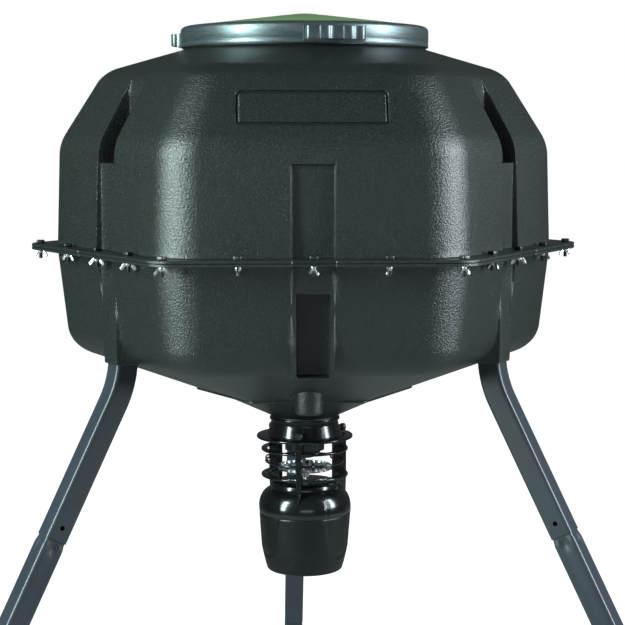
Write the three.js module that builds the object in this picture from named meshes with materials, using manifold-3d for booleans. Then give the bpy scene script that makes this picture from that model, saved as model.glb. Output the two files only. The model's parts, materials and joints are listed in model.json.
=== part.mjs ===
// A tripod game feeder: a hexagonal hopper of two bolted shells under a banded lid, three
// sectional legs, and a battery spinner unit that hangs from the hopper's outlet.
// Millimetres, +Z up, the front faces -Y. Radial sizes are measured from the hopper's axis.
import * as THREE from 'three';
import { mergeVertices } from 'three/addons/utils/BufferGeometryUtils.js';
import Module from 'manifold-3d';

const wasm = await Module();
wasm.setup();

const rad = THREE.MathUtils.degToRad;

// ---------------------------------------------------------------- driving dimensions
const GAP = 0.3;                    // left between pieces that touch
const FUSE = 1;                     // how far joined shapes run into each other
const RUN_ON = 10;                  // how far a cutting shape runs past what it cuts

// Headings, in degrees from +X, of the hopper's six faces.
const LEG_FACES = [-150, -30, 90];
const PLAIN_FACES = [-90, 30, 150];

// Legs: square tube in three lengths, each with its top necked down to plug into the one above.
const TUBE = 38.1;
const TUBE_WALL = 1.2;
const TUBE_CORNER = 5;
const LEG_INSET = 30;               // hopper's joint apothem in to the axis of a leg's top
const LEG_LEAN = 27.76;             // degrees from vertical below the bend
const BEND_RADIUS = 167;
const BEND_BELOW_JOINT = 204.9;     // hopper joint plane down to where the two straights cross
const UPPER_BELOW_BEND = 277.7;
const MIDDLE_SHOWN = 458.8;
const LOWER_SHOWN = 499.5;
const PLUG_DEPTH = 60;
const PLUG_CLEARANCE = 0.4;
const NECK_LENGTH = 14;
const PIN_HOLE_RADIUS = 4;
const PIN_HOLE_FROM_END = 22;
const FOOT_RADIUS = 32;
const FOOT_PAD = 9;
const FOOT_BOOT = 62;
const FOOT_WALL = 4;

// Hopper shells: hexagons with round corners. Heights are from the joint plane.
const WALL = 4;
const JOINT_APOTHEM = 375;
const JOINT_CORNER = 88;
const LEG_RADIUS = JOINT_APOTHEM - LEG_INSET;
const FLANGE_REACH = 33;
const FLANGE_APOTHEM = JOINT_APOTHEM + FLANGE_REACH;
const FLANGE_CORNER = 48;
const FLANGE_THICK = 5;
const SHOULDER_RISE = 173.7;
const SHOULDER_APOTHEM = JOINT_APOTHEM - 5.2;
const SHOULDER_CORNER = 86;
const SHOULDER_ROUND = 80;
const CROWN_RISE = 292.4;
const CROWN_APOTHEM = JOINT_APOTHEM - 73.1;
const CROWN_CORNER = 70;
const CROWN_ROUND = 50;
const MOUTH_RADIUS = 203;
const MOUTH_RISE = 330.2;
const MOUTH_LIP = 21.2;
const MOUTH_WALL = 6;
const HEEL_DROP = 167.9;
const HEEL_APOTHEM = JOINT_APOTHEM - 17;
const HEEL_CORNER = 80;
const HEEL_ROUND = 54;
const RIM_DROP = 244.2;
const RIM_APOTHEM = 160;
const RIM_CORNER = 14;
const RIM_LIP = 3.5;
const RIM_LIP_OUT = 3;
const CONE_RADIUS = RIM_APOTHEM - 5;
const SPOUT_RADIUS = 54;
const SPOUT_WALL = 3;
const SPOUT_TOP_DROP = 293.7;
const SPOUT_LENGTH = 30;

// Pockets in the shells' faces.
const STRIP_WIDTH = 65;
const STRIP_DEPTH = 5;
const STRIP_RISE = 144.4;
const NOTCH_WIDTH = 54;
const NOTCH_BACK = JOINT_APOTHEM - 59;
const POCKET_WALL = 4;
const COLUMN_FACE = JOINT_APOTHEM - 7;    // outer plane of the lower shell's columns
const COLUMN_DROP = 178.9;
const SOCKET_CLEARANCE = 1.45;
const SOCKET_SIZE = TUBE + 2 * SOCKET_CLEARANCE;
const SOCKET_DEPTH_TOP = 8;
const SOCKET_WALL = 3.5;
const SOCKET_WIDTH = SOCKET_SIZE + 2 * SOCKET_WALL;
const SOCKET_RECESS = 3;            // cleared beside the socket, up to the flange
const OPEN_WIDTH = 49;
const OPEN_DEPTH = 25;
const OPEN_TOP_DROP = 49.7;
const OPEN_FLOOR = 4;
const BOSS_RADIUS = 22;
const BOSS_FROM_AXIS = 206;
const BOSS_DROP = 258;
const BOSS_ROUND = 5;
const BOSS_HEIGHT = 94;
const PLATE_WIDTH = 231;
const PLATE_HEIGHT = 60;
const PLATE_GROOVE = 3.8;
const PLATE_GROOVE_DEPTH = 1.5;
const PLATE_CORNER = 8.5;
const PLATE_RISE = 229;

// Flange fasteners: one at each corner and three along each side.
const BOLT_APOTHEM = FLANGE_APOTHEM - 19;
const BOLTS_PER_SIDE = 4;
const BOLT_RADIUS = 3;
const BOLT_HOLE = 3.6;
const BOLT_HEAD = 13;
const BOLT_HEAD_THICK = 5;
const BOLT_LENGTH = 26;
const NUT_RADIUS = 5.5;
const NUT_HEIGHT = 6;
const WING_SPAN = 26;
const WING_HEIGHT = 13;
const WING_THICK = 2.6;
const WING_ROOT = 2;
const WING_TIP = 3;

// Lid, band and latches.
const GASKET_THICK = 5.7;
const BAND_WALL = 3.5;
const BAND_CLEARANCE = 2.3;
const BAND_RADIUS = MOUTH_RADIUS + BAND_CLEARANCE + BAND_WALL;
const BAND_HEIGHT = 34.4;
const BAND_ROUND = 8;
const BAND_OVERLAP = 9.8;
const BAND_ABOVE_MOUTH = 2.6;       // its lower edge above the crown's edge
const LID_RISE = 24;
const LID_WALL = 3.5;
const LID_STEP = 4;                 // depth of the lid's edge under the band's turned-in top
const LID_BEND = 0.2;               // share of the lid's radius where its slope changes
const LID_BEND_RISE = 0.84;         // share of its rise there
const LATCH_HEADINGS = [-79, 161, 41];
const LATCH_WIDTH = 97;
const LATCH_HEIGHT = 20;
const LATCH_STRIP = 3;
const LATCH_REACH = 16;
const LATCH_BUMP = 4.5;
const LATCH_BASE_THICK = 2.6;
const LATCH_BASE_WIDTH = 100;
const LATCH_BASE_HEIGHT = 24;
const LATCH_BASE_UP = 2;
const LATCH_PIN_RADIUS = 2.5;
const LATCH_PIN_OUT = 8;            // pin axis outward of the band
const LATCH_PIN_UP = 8;             // pin axis above the band's lower edge
const LATCH_EYE = 4.4;
const LATCH_TONGUE = 10;
const LATCH_CHEEK = 3;
const LATCH_PIN_PROUD = 2.5;
const LATCH_CHAMFER = 5;            // cut across the lever's corners
const LATCH_LEVER_DOWN = 3;         // lever's lower edge below its pin
// Where each bump starts, tops out and ends, as shares of the lever's half width.
const LATCH_BUMP_SPAN = [0.62, 0.5, 0.28, 0.16];

// Spinner unit. Heights are drops below the spout's top edge.
const SPINNER_RADIUS = 47;
const BLADE_INNER = SPINNER_RADIUS + 6;
const BLADE_OUTER = BLADE_INNER + 24;
const COLLAR_CLEARANCE = 0.6;
const COLLAR_WALL = 3.4;
const COLLAR_LIP = 2.5;
const COLLAR_TOP_DROP = 2;
const COLLAR_FLARE = 6.5;
const DECK_DROP = 33.9;
const DECK_THICK = 4;
const DECK_RADIUS = BLADE_OUTER + 6;
const RING_RADIUS = BLADE_OUTER - 2;
const RING_THICK = 4;
const RING_WIDTH = 10;
const RING_DROP = 56;
const WIRE_RADIUS = BLADE_OUTER - 10;
const WIRE_THICK = 1.9;
const WIRE_DROP = 79.5;
const LOW_RING_DROP = 101;
const BLADE_HEADINGS = [-100, 20, 140];
const BLADE_THICK = 9;
const BLADE_POINT_DROP = 146;
const BLADE_TAPER = 32;
const FUNNEL_RADIUS = 34;
const FUNNEL_WALL = 3;
const FUNNEL_FLANGE = SPOUT_RADIUS - 2;
const FUNNEL_TUBE_DROP = 60;
const FUNNEL_TIP_DROP = 73;
const FUNNEL_TIP_RADIUS = 17;
const SPINNER_DROP = 94.9;
const SPINNER_THICK = 1.8;
const SPINNER_RIM = 7;
const VANE_HEIGHT = 10;
const VANES = 4;
const HUB_RADIUS = 8;
const HUB_HEIGHT = 13;
const SHAFT_RADIUS = 3;
const SET_SCREW_RADIUS = 2;
const SET_SCREW_LENGTH = 9;
const NECK_RADIUS = 57.5;
const NECK_TOP_DROP = 117;
const NECK_HEIGHT = 10;
const HOUSING_RADIUS = 80;
const HOUSING_WALL = 2.5;
const DOME_HEIGHT = 33;
const SEAM_DROP = 168.9;
const SKIRT_DROP = 9;
const CUP_HEIGHT = 101;
const CUP_WAIST_RADIUS = 74.8;
const CUP_WAIST_HEIGHT = 41;
const CUP_BASE_RADIUS = 66;
const CUP_BASE_ROUND = 5;
const MOTOR_RADIUS = 18;
const MOTOR_LENGTH = 36;
const BATTERY_SIDE = 67;
const BATTERY_HEIGHT = 99;
const BATTERY_BACK = 11;            // battery's centre behind the axis
const TERMINAL_RADIUS = 5;
const TERMINAL_HEIGHT = 5;
const TIMER_WIDTH = 64;
const TIMER_DEPTH = 22;
const TIMER_HEIGHT = 92;
const TIMER_TO_BATTERY = 2;
const TIMER_BELOW_NECK = 16;
const LENS_WIDTH = 38;
const LENS_HEIGHT = 20;
const LENS_THICK = 2;
const BUTTON_RADIUS = 4;
const BUTTON_LENGTH = 9;
const BUTTON_SHOWN = 3;
const BUTTON_TRAVEL = 1.5;
const BUTTON_PITCH = 18;
const THUMB_RADIUS = 6.5;
const THUMB_GRIP = 9;
const THUMB_SHAFT = 2.4;
const THUMB_ABOVE_DECK = 8;
const THUMB_GRIP_FROM_AXIS = SPOUT_RADIUS + 13;

// ---------------------------------------------------------------- heights above the ground
const lean = rad(LEG_LEAN);
const legRun = UPPER_BELOW_BEND + MIDDLE_SHOWN + LOWER_SHOWN;
const bendZ = legRun * Math.cos(lean);
const jointZ = bendZ + BEND_BELOW_JOINT;
const spoutTopZ = jointZ - SPOUT_TOP_DROP;
const spoutEndZ = spoutTopZ - SPOUT_LENGTH;
const mouthZ = jointZ + MOUTH_RISE;
const mouthTopZ = mouthZ + MOUTH_LIP;
const bandZ = mouthZ + BAND_ABOVE_MOUTH;

// ---------------------------------------------------------------- shape helpers
function solidOf(geometry) {
  geometry.deleteAttribute('normal');
  geometry.deleteAttribute('uv');
  const merged = mergeVertices(geometry, 1e-4);
  const points = merged.getAttribute('position').array;
  const corners = [...merged.getIndex().array];
  const faces = [];
  let volume = 0;
  const at = (i) => new THREE.Vector3(points[3 * i], points[3 * i + 1], points[3 * i + 2]);
  for (let i = 0; i < corners.length; i += 3) {
    const [a, b, c] = corners.slice(i, i + 3);
    if (a !== b && b !== c && c !== a) {
      faces.push([a, b, c]);
      volume += at(a).dot(at(b).cross(at(c)));
    }
  }
  const turned = volume < 0 ? faces.map(([a, b, c]) => [a, c, b]) : faces;
  return new wasm.Manifold(new wasm.Mesh({
    numProp: 3,
    vertProperties: Float32Array.from(points),
    triVerts: Uint32Array.from(turned.flat()),
  }));
}

function geometryOf(solid) {
  const mesh = solid.getMesh();
  const geometry = new THREE.BufferGeometry();
  geometry.setAttribute('position', new THREE.BufferAttribute(mesh.vertProperties, 3));
  geometry.setIndex(new THREE.BufferAttribute(mesh.triVerts, 1));
  geometry.computeVertexNormals();
  return geometry;
}

// Closes a stack of rings, each with the same number of points, into a solid.
function loft(rings) {
  const count = rings[0].length;
  const last = (rings.length - 1) * count;
  const index = [];
  for (let r = 0; r < rings.length - 1; r++) {
    for (let p = 0; p < count; p++) {
      const a = r * count + p;
      const b = r * count + (p + 1) % count;
      index.push(a, b, b + count, a, b + count, a + count);
    }
  }
  for (let p = 1; p < count - 1; p++) {
    index.push(0, p + 1, p);
    index.push(last, last + p, last + p + 1);
  }
  const geometry = new THREE.BufferGeometry();
  geometry.setAttribute('position', new THREE.Float32BufferAttribute(rings.flat(2), 3));
  geometry.setIndex(index);
  return solidOf(geometry);
}

function box([x0, x1], [y0, y1], [z0, z1]) {
  const geometry = new THREE.BoxGeometry(x1 - x0, y1 - y0, z1 - z0);
  geometry.translate((x0 + x1) / 2, (y0 + y1) / 2, (z0 + z1) / 2);
  return solidOf(geometry);
}

// A cylinder up +Z from z0 to z1.
function rod(radius, z0, z1, sides = 20) {
  const geometry = new THREE.CylinderGeometry(radius, radius, z1 - z0, sides);
  geometry.rotateX(Math.PI / 2);
  geometry.translate(0, 0, (z0 + z1) / 2);
  return solidOf(geometry);
}

// A cylinder along +X from x0 to x1 at height z.
function rodX(radius, x0, x1, z, sides = 12) {
  return rod(radius, x0, x1, sides).rotate([0, 90, 0]).translate([0, 0, z]);
}

// A cylinder along Y from y0 to y1.
function rodY(radius, y0, y1, sides = 12) {
  return rod(radius, y0, y1, sides).rotate([-90, 0, 0]);
}

// Turns a closed profile of [radius, z] points about the axis.
function turn(profile, sides = 28) {
  const points = profile.map(([r, z]) => new THREE.Vector2(r, z));
  if (profile[0][0] > 0) points.push(points[0].clone());
  const geometry = new THREE.LatheGeometry(points, sides);
  geometry.rotateX(Math.PI / 2);
  return solidOf(geometry);
}

// Raises an outline of [x, y] points from z0 to z1.
function prism(outline, z0, z1) {
  const shape = new THREE.Shape(outline.map(([x, y]) => new THREE.Vector2(x, y)));
  const geometry = new THREE.ExtrudeGeometry(shape, { depth: z1 - z0, bevelEnabled: false });
  geometry.translate(0, 0, z0);
  return solidOf(geometry);
}

function arc(cx, cy, rx, ry, from, to, steps) {
  const points = [];
  for (let s = 0; s <= steps; s++) {
    const angle = rad(from + (to - from) * s / steps);
    points.push([cx + rx * Math.cos(angle), cy + ry * Math.sin(angle)]);
  }
  return points;
}

function roundedRectangle(width, height, corner, steps = 4) {
  const x = width / 2 - corner;
  const y = height / 2 - corner;
  return [
    ...arc(x, y, corner, corner, 0, 90, steps),
    ...arc(-x, y, corner, corner, 90, 180, steps),
    ...arc(-x, -y, corner, corner, 180, 270, steps),
    ...arc(x, -y, corner, corner, 270, 360, steps),
  ];
}

function joined(solids) {
  return solids.reduce((sum, solid) => sum.add(solid));
}

function cut(solid, tools) {
  return tools.reduce((rest, tool) => rest.subtract(tool), solid);
}

function about(solid, heading) {
  return solid.rotate([0, 0, heading]);
}

const feeder = new THREE.Group();

function piece(parent, name, solid, look) {
  const mesh = new THREE.Mesh(geometryOf(solid), new THREE.MeshStandardMaterial(look));
  mesh.name = name;
  parent.add(mesh);
  return mesh;
}

function turnedGroup(heading) {
  const group = new THREE.Group();
  group.rotation.z = rad(heading);
  feeder.add(group);
  return group;
}

const looks = {
  hopper: { color: 0x2c342d, roughness: 0.62, metalness: 0 },
  lid: { color: 0x55684f, roughness: 0.55, metalness: 0 },
  band: { color: 0x7c8a86, roughness: 0.42, metalness: 0.7 },
  latch: { color: 0x66746f, roughness: 0.4, metalness: 0.7 },
  steel: { color: 0xc9ccce, roughness: 0.3, metalness: 1 },
  leg: { color: 0x3a424b, roughness: 0.35, metalness: 0.3 },
  rubber: { color: 0x1b1c1d, roughness: 0.85, metalness: 0 },
  guard: { color: 0x14171a, roughness: 0.28, metalness: 0 },
  cup: { color: 0x232a2a, roughness: 0.5, metalness: 0 },
  zinc: { color: 0xb9bdc0, roughness: 0.35, metalness: 1 },
  battery: { color: 0x2f5d3a, roughness: 0.5, metalness: 0 },
  timer: { color: 0x3b3f42, roughness: 0.6, metalness: 0 },
  lens: { color: 0x8f9c86, roughness: 0.2, metalness: 0 },
  button: { color: 0xb23a2c, roughness: 0.5, metalness: 0 },
};

// ---------------------------------------------------------------- hopper profile tools
const CORNER_STEPS = 4;
const ROUND_STEPS = 3;

function hexRing(apothem, corner, z) {
  const ring = [];
  const centre = (apothem - corner) / Math.cos(rad(30));
  for (let vertex = 0; vertex < 6; vertex++) {
    const heading = 60 * vertex;
    const [x, y] = [centre * Math.cos(rad(heading)), centre * Math.sin(rad(heading))];
    for (const point of arc(x, y, corner, corner, heading - 30, heading + 30, CORNER_STEPS)) {
      ring.push([...point, z]);
    }
  }
  return ring;
}

// A hexagon whose corner radius is nearly its apothem is round.
function roundStation(radius, z) {
  return { apothem: radius, corner: radius - 0.4, z };
}

function blend(from, to, share) {
  return {
    apothem: THREE.MathUtils.lerp(from.apothem, to.apothem, share),
    corner: THREE.MathUtils.lerp(from.corner, to.corner, share),
    z: THREE.MathUtils.lerp(from.z, to.z, share),
  };
}

// Rounds the marked stations of a profile with an arc of their own radius.
function rounded(stations) {
  const out = [];
  stations.forEach((station, i) => {
    if (!station.round) {
      out.push(station);
      return;
    }
    const here = new THREE.Vector2(station.apothem, station.z);
    const back = new THREE.Vector2(stations[i - 1].apothem, stations[i - 1].z).sub(here);
    const ahead = new THREE.Vector2(stations[i + 1].apothem, stations[i + 1].z).sub(here);
    const inside = Math.acos(back.dot(ahead) / (back.length() * ahead.length()));
    const reach = station.round / Math.tan(inside / 2);
    const start = blend(station, stations[i - 1], reach / back.length());
    const end = blend(station, stations[i + 1], reach / ahead.length());
    const bisector = back.clone().normalize().add(ahead.clone().normalize()).normalize();
    const centre = here.clone().addScaledVector(bisector, station.round / Math.sin(inside / 2));
    const fromAngle = Math.atan2(start.z - centre.y, start.apothem - centre.x);
    let sweep = Math.atan2(end.z - centre.y, end.apothem - centre.x) - fromAngle;
    sweep -= 2 * Math.PI * Math.round(sweep / (2 * Math.PI));
    for (let s = 0; s <= ROUND_STEPS; s++) {
      const share = s / ROUND_STEPS;
      const angle = fromAngle + sweep * share;
      out.push({
        apothem: centre.x + station.round * Math.cos(angle),
        corner: THREE.MathUtils.lerp(start.corner, end.corner, share),
        z: centre.y + station.round * Math.sin(angle),
      });
    }
  });
  return out;
}

// The same profile moved inward by its wall, with both ends run on past the shell.
function inset(stations, wall, runOn) {
  const inner = stations.map((station, i) => {
    const before = stations[Math.max(i - 1, 0)];
    const after = stations[Math.min(i + 1, stations.length - 1)];
    const along = new THREE.Vector2(after.apothem - before.apothem, after.z - before.z).normalize();
    const thick = station.wall ?? wall;
    return {
      apothem: station.apothem - thick * along.y,
      corner: Math.max(station.corner - thick * along.y, 1),
      z: station.z + thick * along.x,
    };
  });
  const first = { ...inner[0], z: stations[0].z - runOn };
  const end = { ...inner.at(-1), z: stations.at(-1).z + runOn };
  return [first, ...inner.slice(1, -1), end];
}

function hexSolid(stations) {
  return loft(stations.map(({ apothem, corner, z }) => hexRing(apothem, corner, z)));
}

function flange(z0, z1) {
  return loft([z0, z1].map((z) => hexRing(FLANGE_APOTHEM, FLANGE_CORNER, z)));
}

const boltPlaces = [];
for (let side = 0; side < 6; side++) {
  for (let step = 0; step < BOLTS_PER_SIDE; step++) {
    const along = (step / BOLTS_PER_SIDE - 0.5) * 2 * BOLT_APOTHEM * Math.tan(rad(30));
    const place = new THREE.Vector2(BOLT_APOTHEM, along);
    boltPlaces.push({ place, side: 60 * side + 30, atCorner: step === 0 });
  }
}

function boltHoles(z0, z1) {
  return boltPlaces.map(({ place, side }) => {
    const hole = rod(BOLT_HOLE, z0, z1, 6).translate([place.x, place.y, 0]);
    return about(hole, side);
  });
}

// ---------------------------------------------------------------- upper shell
const upperProfile = rounded([
  { apothem: JOINT_APOTHEM, corner: JOINT_CORNER, z: jointZ + GAP / 2 },
  {
    apothem: SHOULDER_APOTHEM,
    corner: SHOULDER_CORNER,
    z: jointZ + SHOULDER_RISE,
    round: SHOULDER_ROUND,
  },
  { apothem: CROWN_APOTHEM, corner: CROWN_CORNER, z: jointZ + CROWN_RISE, round: CROWN_ROUND },
  { ...roundStation(MOUTH_RADIUS, mouthZ), wall: MOUTH_WALL },
  { ...roundStation(MOUTH_RADIUS, mouthTopZ), wall: MOUTH_WALL },
]);

// A round-cornered frame cut into the front's sloping face.
function platePanel() {
  const slope = Math.atan2(SHOULDER_APOTHEM - CROWN_APOTHEM, CROWN_RISE - SHOULDER_RISE);
  const share = (PLATE_RISE - SHOULDER_RISE) / (CROWN_RISE - SHOULDER_RISE);
  const apothem = THREE.MathUtils.lerp(SHOULDER_APOTHEM, CROWN_APOTHEM, share);
  const outer = roundedRectangle(PLATE_WIDTH, PLATE_HEIGHT, PLATE_CORNER);
  const inner = roundedRectangle(
    PLATE_WIDTH - 2 * PLATE_GROOVE,
    PLATE_HEIGHT - 2 * PLATE_GROOVE,
    PLATE_CORNER - PLATE_GROOVE,
  );
  const ring = prism(outer, -PLATE_GROOVE_DEPTH, 5).subtract(prism(inner, -6, 6));
  return ring
    .rotate([90 - THREE.MathUtils.radToDeg(slope), 0, 0])
    .translate([0, -apothem, jointZ + PLATE_RISE]);
}

function upperShell() {
  const body = hexSolid(upperProfile);
  const hollow = hexSolid(inset(upperProfile, WALL, 2 * RUN_ON));
  const stripTop = jointZ + STRIP_RISE;
  const pad = box(
    [JOINT_APOTHEM - 2 * WALL - STRIP_DEPTH, JOINT_APOTHEM],
    [-STRIP_WIDTH / 2 - WALL, STRIP_WIDTH / 2 + WALL],
    [jointZ + GAP / 2, stripTop + WALL],
  );
  const strip = box(
    [SHOULDER_APOTHEM - STRIP_DEPTH, JOINT_APOTHEM + RUN_ON],
    [-STRIP_WIDTH / 2, STRIP_WIDTH / 2],
    [jointZ + FLANGE_THICK, stripTop],
  );
  const notchShell = box(
    [NOTCH_BACK - POCKET_WALL, JOINT_APOTHEM],
    [-NOTCH_WIDTH / 2 - POCKET_WALL, NOTCH_WIDTH / 2 + POCKET_WALL],
    [stripTop - POCKET_WALL, jointZ + CROWN_RISE],
  );
  const notch = box(
    [NOTCH_BACK, JOINT_APOTHEM + RUN_ON],
    [-NOTCH_WIDTH / 2, NOTCH_WIDTH / 2],
    [stripTop, jointZ + CROWN_RISE],
  );
  const faces = [...LEG_FACES, ...PLAIN_FACES];
  const pads = joined([
    ...faces.map((heading) => about(pad, heading)),
    ...LEG_FACES.map((heading) => about(notchShell, heading)),
  ]).intersect(body);
  const walls = joined([
    body.subtract(hollow),
    pads,
    flange(jointZ + GAP / 2, jointZ + FLANGE_THICK).subtract(hollow),
  ]);
  return cut(walls, [
    ...faces.map((heading) => about(strip, heading)),
    ...LEG_FACES.map((heading) => about(notch, heading)),
    ...boltHoles(jointZ - 1, jointZ + FLANGE_THICK + 1),
    platePanel(),
  ]);
}

piece(feeder, 'hopper_upper', upperShell(), looks.hopper);

// ---------------------------------------------------------------- lower shell
const coneEndZ = jointZ - RIM_DROP - FUSE;
const lowerProfile = rounded([
  { ...roundStation(SPOUT_RADIUS, spoutEndZ), wall: SPOUT_WALL },
  { ...roundStation(SPOUT_RADIUS, spoutTopZ), wall: SPOUT_WALL },
  { ...roundStation(CONE_RADIUS, coneEndZ) },
  { apothem: RIM_APOTHEM, corner: RIM_CORNER, z: jointZ - RIM_DROP },
  { apothem: HEEL_APOTHEM, corner: HEEL_CORNER, z: jointZ - HEEL_DROP, round: HEEL_ROUND },
  { apothem: JOINT_APOTHEM, corner: JOINT_CORNER, z: jointZ - GAP / 2 },
]);

function boss() {
  const bottom = jointZ - BOSS_DROP;
  const profile = [
    [0, bottom],
    ...arc(BOSS_RADIUS - BOSS_ROUND, bottom + BOSS_ROUND, BOSS_ROUND, BOSS_ROUND, -90, 0, 3),
    [BOSS_RADIUS, bottom + BOSS_HEIGHT],
    [0, bottom + BOSS_HEIGHT],
  ];
  return turn(profile, 20).translate([0, -BOSS_FROM_AXIS, 0]);
}

function lowerShell() {
  const body = hexSolid(lowerProfile);
  const hollow = hexSolid(inset(lowerProfile, WALL, 2 * RUN_ON));
  const top = jointZ - GAP / 2;
  const columnEnd = jointZ - COLUMN_DROP;
  const lip = loft([
    hexRing(RIM_APOTHEM + RIM_LIP_OUT, RIM_CORNER, jointZ - RIM_DROP - RIM_LIP),
    hexRing(RIM_APOTHEM + RIM_LIP_OUT, RIM_CORNER, jointZ - RIM_DROP + FUSE),
  ]);
  const walls = joined([body, lip, boss(), flange(jointZ - FLANGE_THICK, top)]).subtract(hollow);

  const socket = box(
    [COLUMN_FACE - SOCKET_WIDTH, COLUMN_FACE],
    [-SOCKET_WIDTH / 2, SOCKET_WIDTH / 2],
    [columnEnd, top],
  );
  const socketFront = box(
    [COLUMN_FACE, JOINT_APOTHEM + RUN_ON],
    [-SOCKET_WIDTH / 2 - SOCKET_RECESS, SOCKET_WIDTH / 2 + SOCKET_RECESS],
    [columnEnd - RUN_ON, jointZ - FLANGE_THICK],
  );
  const socketBore = box(
    [LEG_RADIUS - SOCKET_SIZE / 2, LEG_RADIUS + SOCKET_SIZE / 2],
    [-SOCKET_SIZE / 2, SOCKET_SIZE / 2],
    [columnEnd - RUN_ON, jointZ - SOCKET_DEPTH_TOP],
  );
  const column = box(
    [COLUMN_FACE - OPEN_DEPTH - WALL, COLUMN_FACE],
    [-STRIP_WIDTH / 2, STRIP_WIDTH / 2],
    [columnEnd, top],
  );
  const columnFront = box(
    [COLUMN_FACE, JOINT_APOTHEM + RUN_ON],
    [-STRIP_WIDTH / 2, STRIP_WIDTH / 2],
    [columnEnd - RUN_ON, jointZ - FLANGE_THICK],
  );
  const openPocket = box(
    [COLUMN_FACE - OPEN_DEPTH, JOINT_APOTHEM + RUN_ON],
    [-OPEN_WIDTH / 2, OPEN_WIDTH / 2],
    [columnEnd + OPEN_FLOOR, jointZ - OPEN_TOP_DROP],
  );
  const columns = [
    ...LEG_FACES.map((heading) => about(socket, heading)),
    ...PLAIN_FACES.map((heading) => about(column, heading)),
  ];
  return cut(joined([walls, ...columns]), [
    ...LEG_FACES.map((heading) => about(socketFront, heading)),
    ...LEG_FACES.map((heading) => about(socketBore, heading)),
    ...PLAIN_FACES.map((heading) => about(columnFront, heading)),
    ...PLAIN_FACES.map((heading) => about(openPocket, heading)),
    ...boltHoles(jointZ - FLANGE_THICK - 1, jointZ + 1),
  ]);
}

piece(feeder, 'hopper_lower', lowerShell(), looks.hopper);

// ---------------------------------------------------------------- flange bolts and wing nuts
function flangeBolt() {
  const seat = FLANGE_THICK + GAP;
  const head = box(
    [-BOLT_HEAD / 2, BOLT_HEAD / 2],
    [-BOLT_HEAD / 2, BOLT_HEAD / 2],
    [seat, seat + BOLT_HEAD_THICK],
  );
  return head.add(rod(BOLT_RADIUS, seat - BOLT_LENGTH, seat + FUSE, 12));
}

function wingNut() {
  const top = -FLANGE_THICK - GAP;
  const wing = prism([
    [WING_ROOT, 0],
    [NUT_RADIUS, 0],
    [WING_SPAN / 2, -WING_HEIGHT + WING_TIP],
    [WING_SPAN / 2 - WING_ROOT, -WING_HEIGHT],
    [WING_SPAN / 2 - WING_ROOT - WING_TIP, -WING_HEIGHT],
    [WING_ROOT, -NUT_HEIGHT],
  ], -WING_THICK / 2, WING_THICK / 2).rotate([90, 0, 0]);
  const body = joined([
    rod(NUT_RADIUS, -NUT_HEIGHT, 0, 12),
    wing,
    wing.rotate([0, 0, 180]),
  ]);
  const bore = rod(BOLT_RADIUS + GAP, -WING_HEIGHT - FUSE, FUSE, 12);
  return body.subtract(bore).rotate([0, 0, 90]).translate([0, 0, top]);
}

boltPlaces.filter(({ atCorner }) => atCorner).forEach(({ place, side }, i) => {
  const group = turnedGroup(side);
  const bolt = piece(group, `corner_bolt_${i + 1}`, flangeBolt(), looks.guard);
  const nut = piece(group, `corner_wing_nut_${i + 1}`, wingNut(), looks.zinc);
  bolt.position.set(place.x, place.y, jointZ);
  nut.position.set(place.x, place.y, jointZ);
});

// ---------------------------------------------------------------- lid, band and gasket
const lidFlangeZ = mouthTopZ + GASKET_THICK + 2 * GAP;
const bandTopZ = bandZ + BAND_HEIGHT;
const bandInner = BAND_RADIUS - BAND_WALL;
const bandMouth = BAND_RADIUS - BAND_OVERLAP;
const lidEdge = bandInner - 2 * GAP;
const lidRim = bandMouth - 2 * GAP;
const lidFlangeTop = bandTopZ - BAND_WALL - GAP;

const lidTop = turn([
  [0, bandTopZ + LID_RISE],
  [lidRim * LID_BEND, bandTopZ + LID_RISE * LID_BEND_RISE],
  [lidRim, bandTopZ],
  [lidRim, lidFlangeTop - LID_STEP],
  [lidEdge, lidFlangeTop - LID_STEP],
  [lidEdge, lidFlangeZ],
  [MOUTH_RADIUS - MOUTH_WALL, lidFlangeZ],
  [lidRim - LID_WALL, bandTopZ - LID_WALL],
  [0, bandTopZ + LID_RISE - LID_WALL],
], 40);
piece(feeder, 'lid_top', lidTop, looks.lid);

const bandCornerZ = bandTopZ - BAND_ROUND;
const lidBand = turn([
  [BAND_RADIUS, bandZ],
  ...arc(BAND_RADIUS - BAND_ROUND, bandCornerZ, BAND_ROUND, BAND_ROUND, 0, 90, 3),
  [bandMouth, bandTopZ],
  [bandMouth, bandTopZ - BAND_WALL],
  [bandInner - BAND_ROUND + BAND_WALL, bandTopZ - BAND_WALL],
  [bandInner, bandCornerZ],
  [bandInner, bandZ],
], 40);
piece(feeder, 'lid_band', lidBand, looks.band);

const gasket = turn([
  [MOUTH_RADIUS - MOUTH_WALL, mouthTopZ + GAP],
  [lidEdge, mouthTopZ + GAP],
  [lidEdge, mouthTopZ + GAP + GASKET_THICK],
  [MOUTH_RADIUS - MOUTH_WALL, mouthTopZ + GAP + GASKET_THICK],
], 40);
piece(feeder, 'lid_gasket', gasket, looks.rubber);

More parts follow.
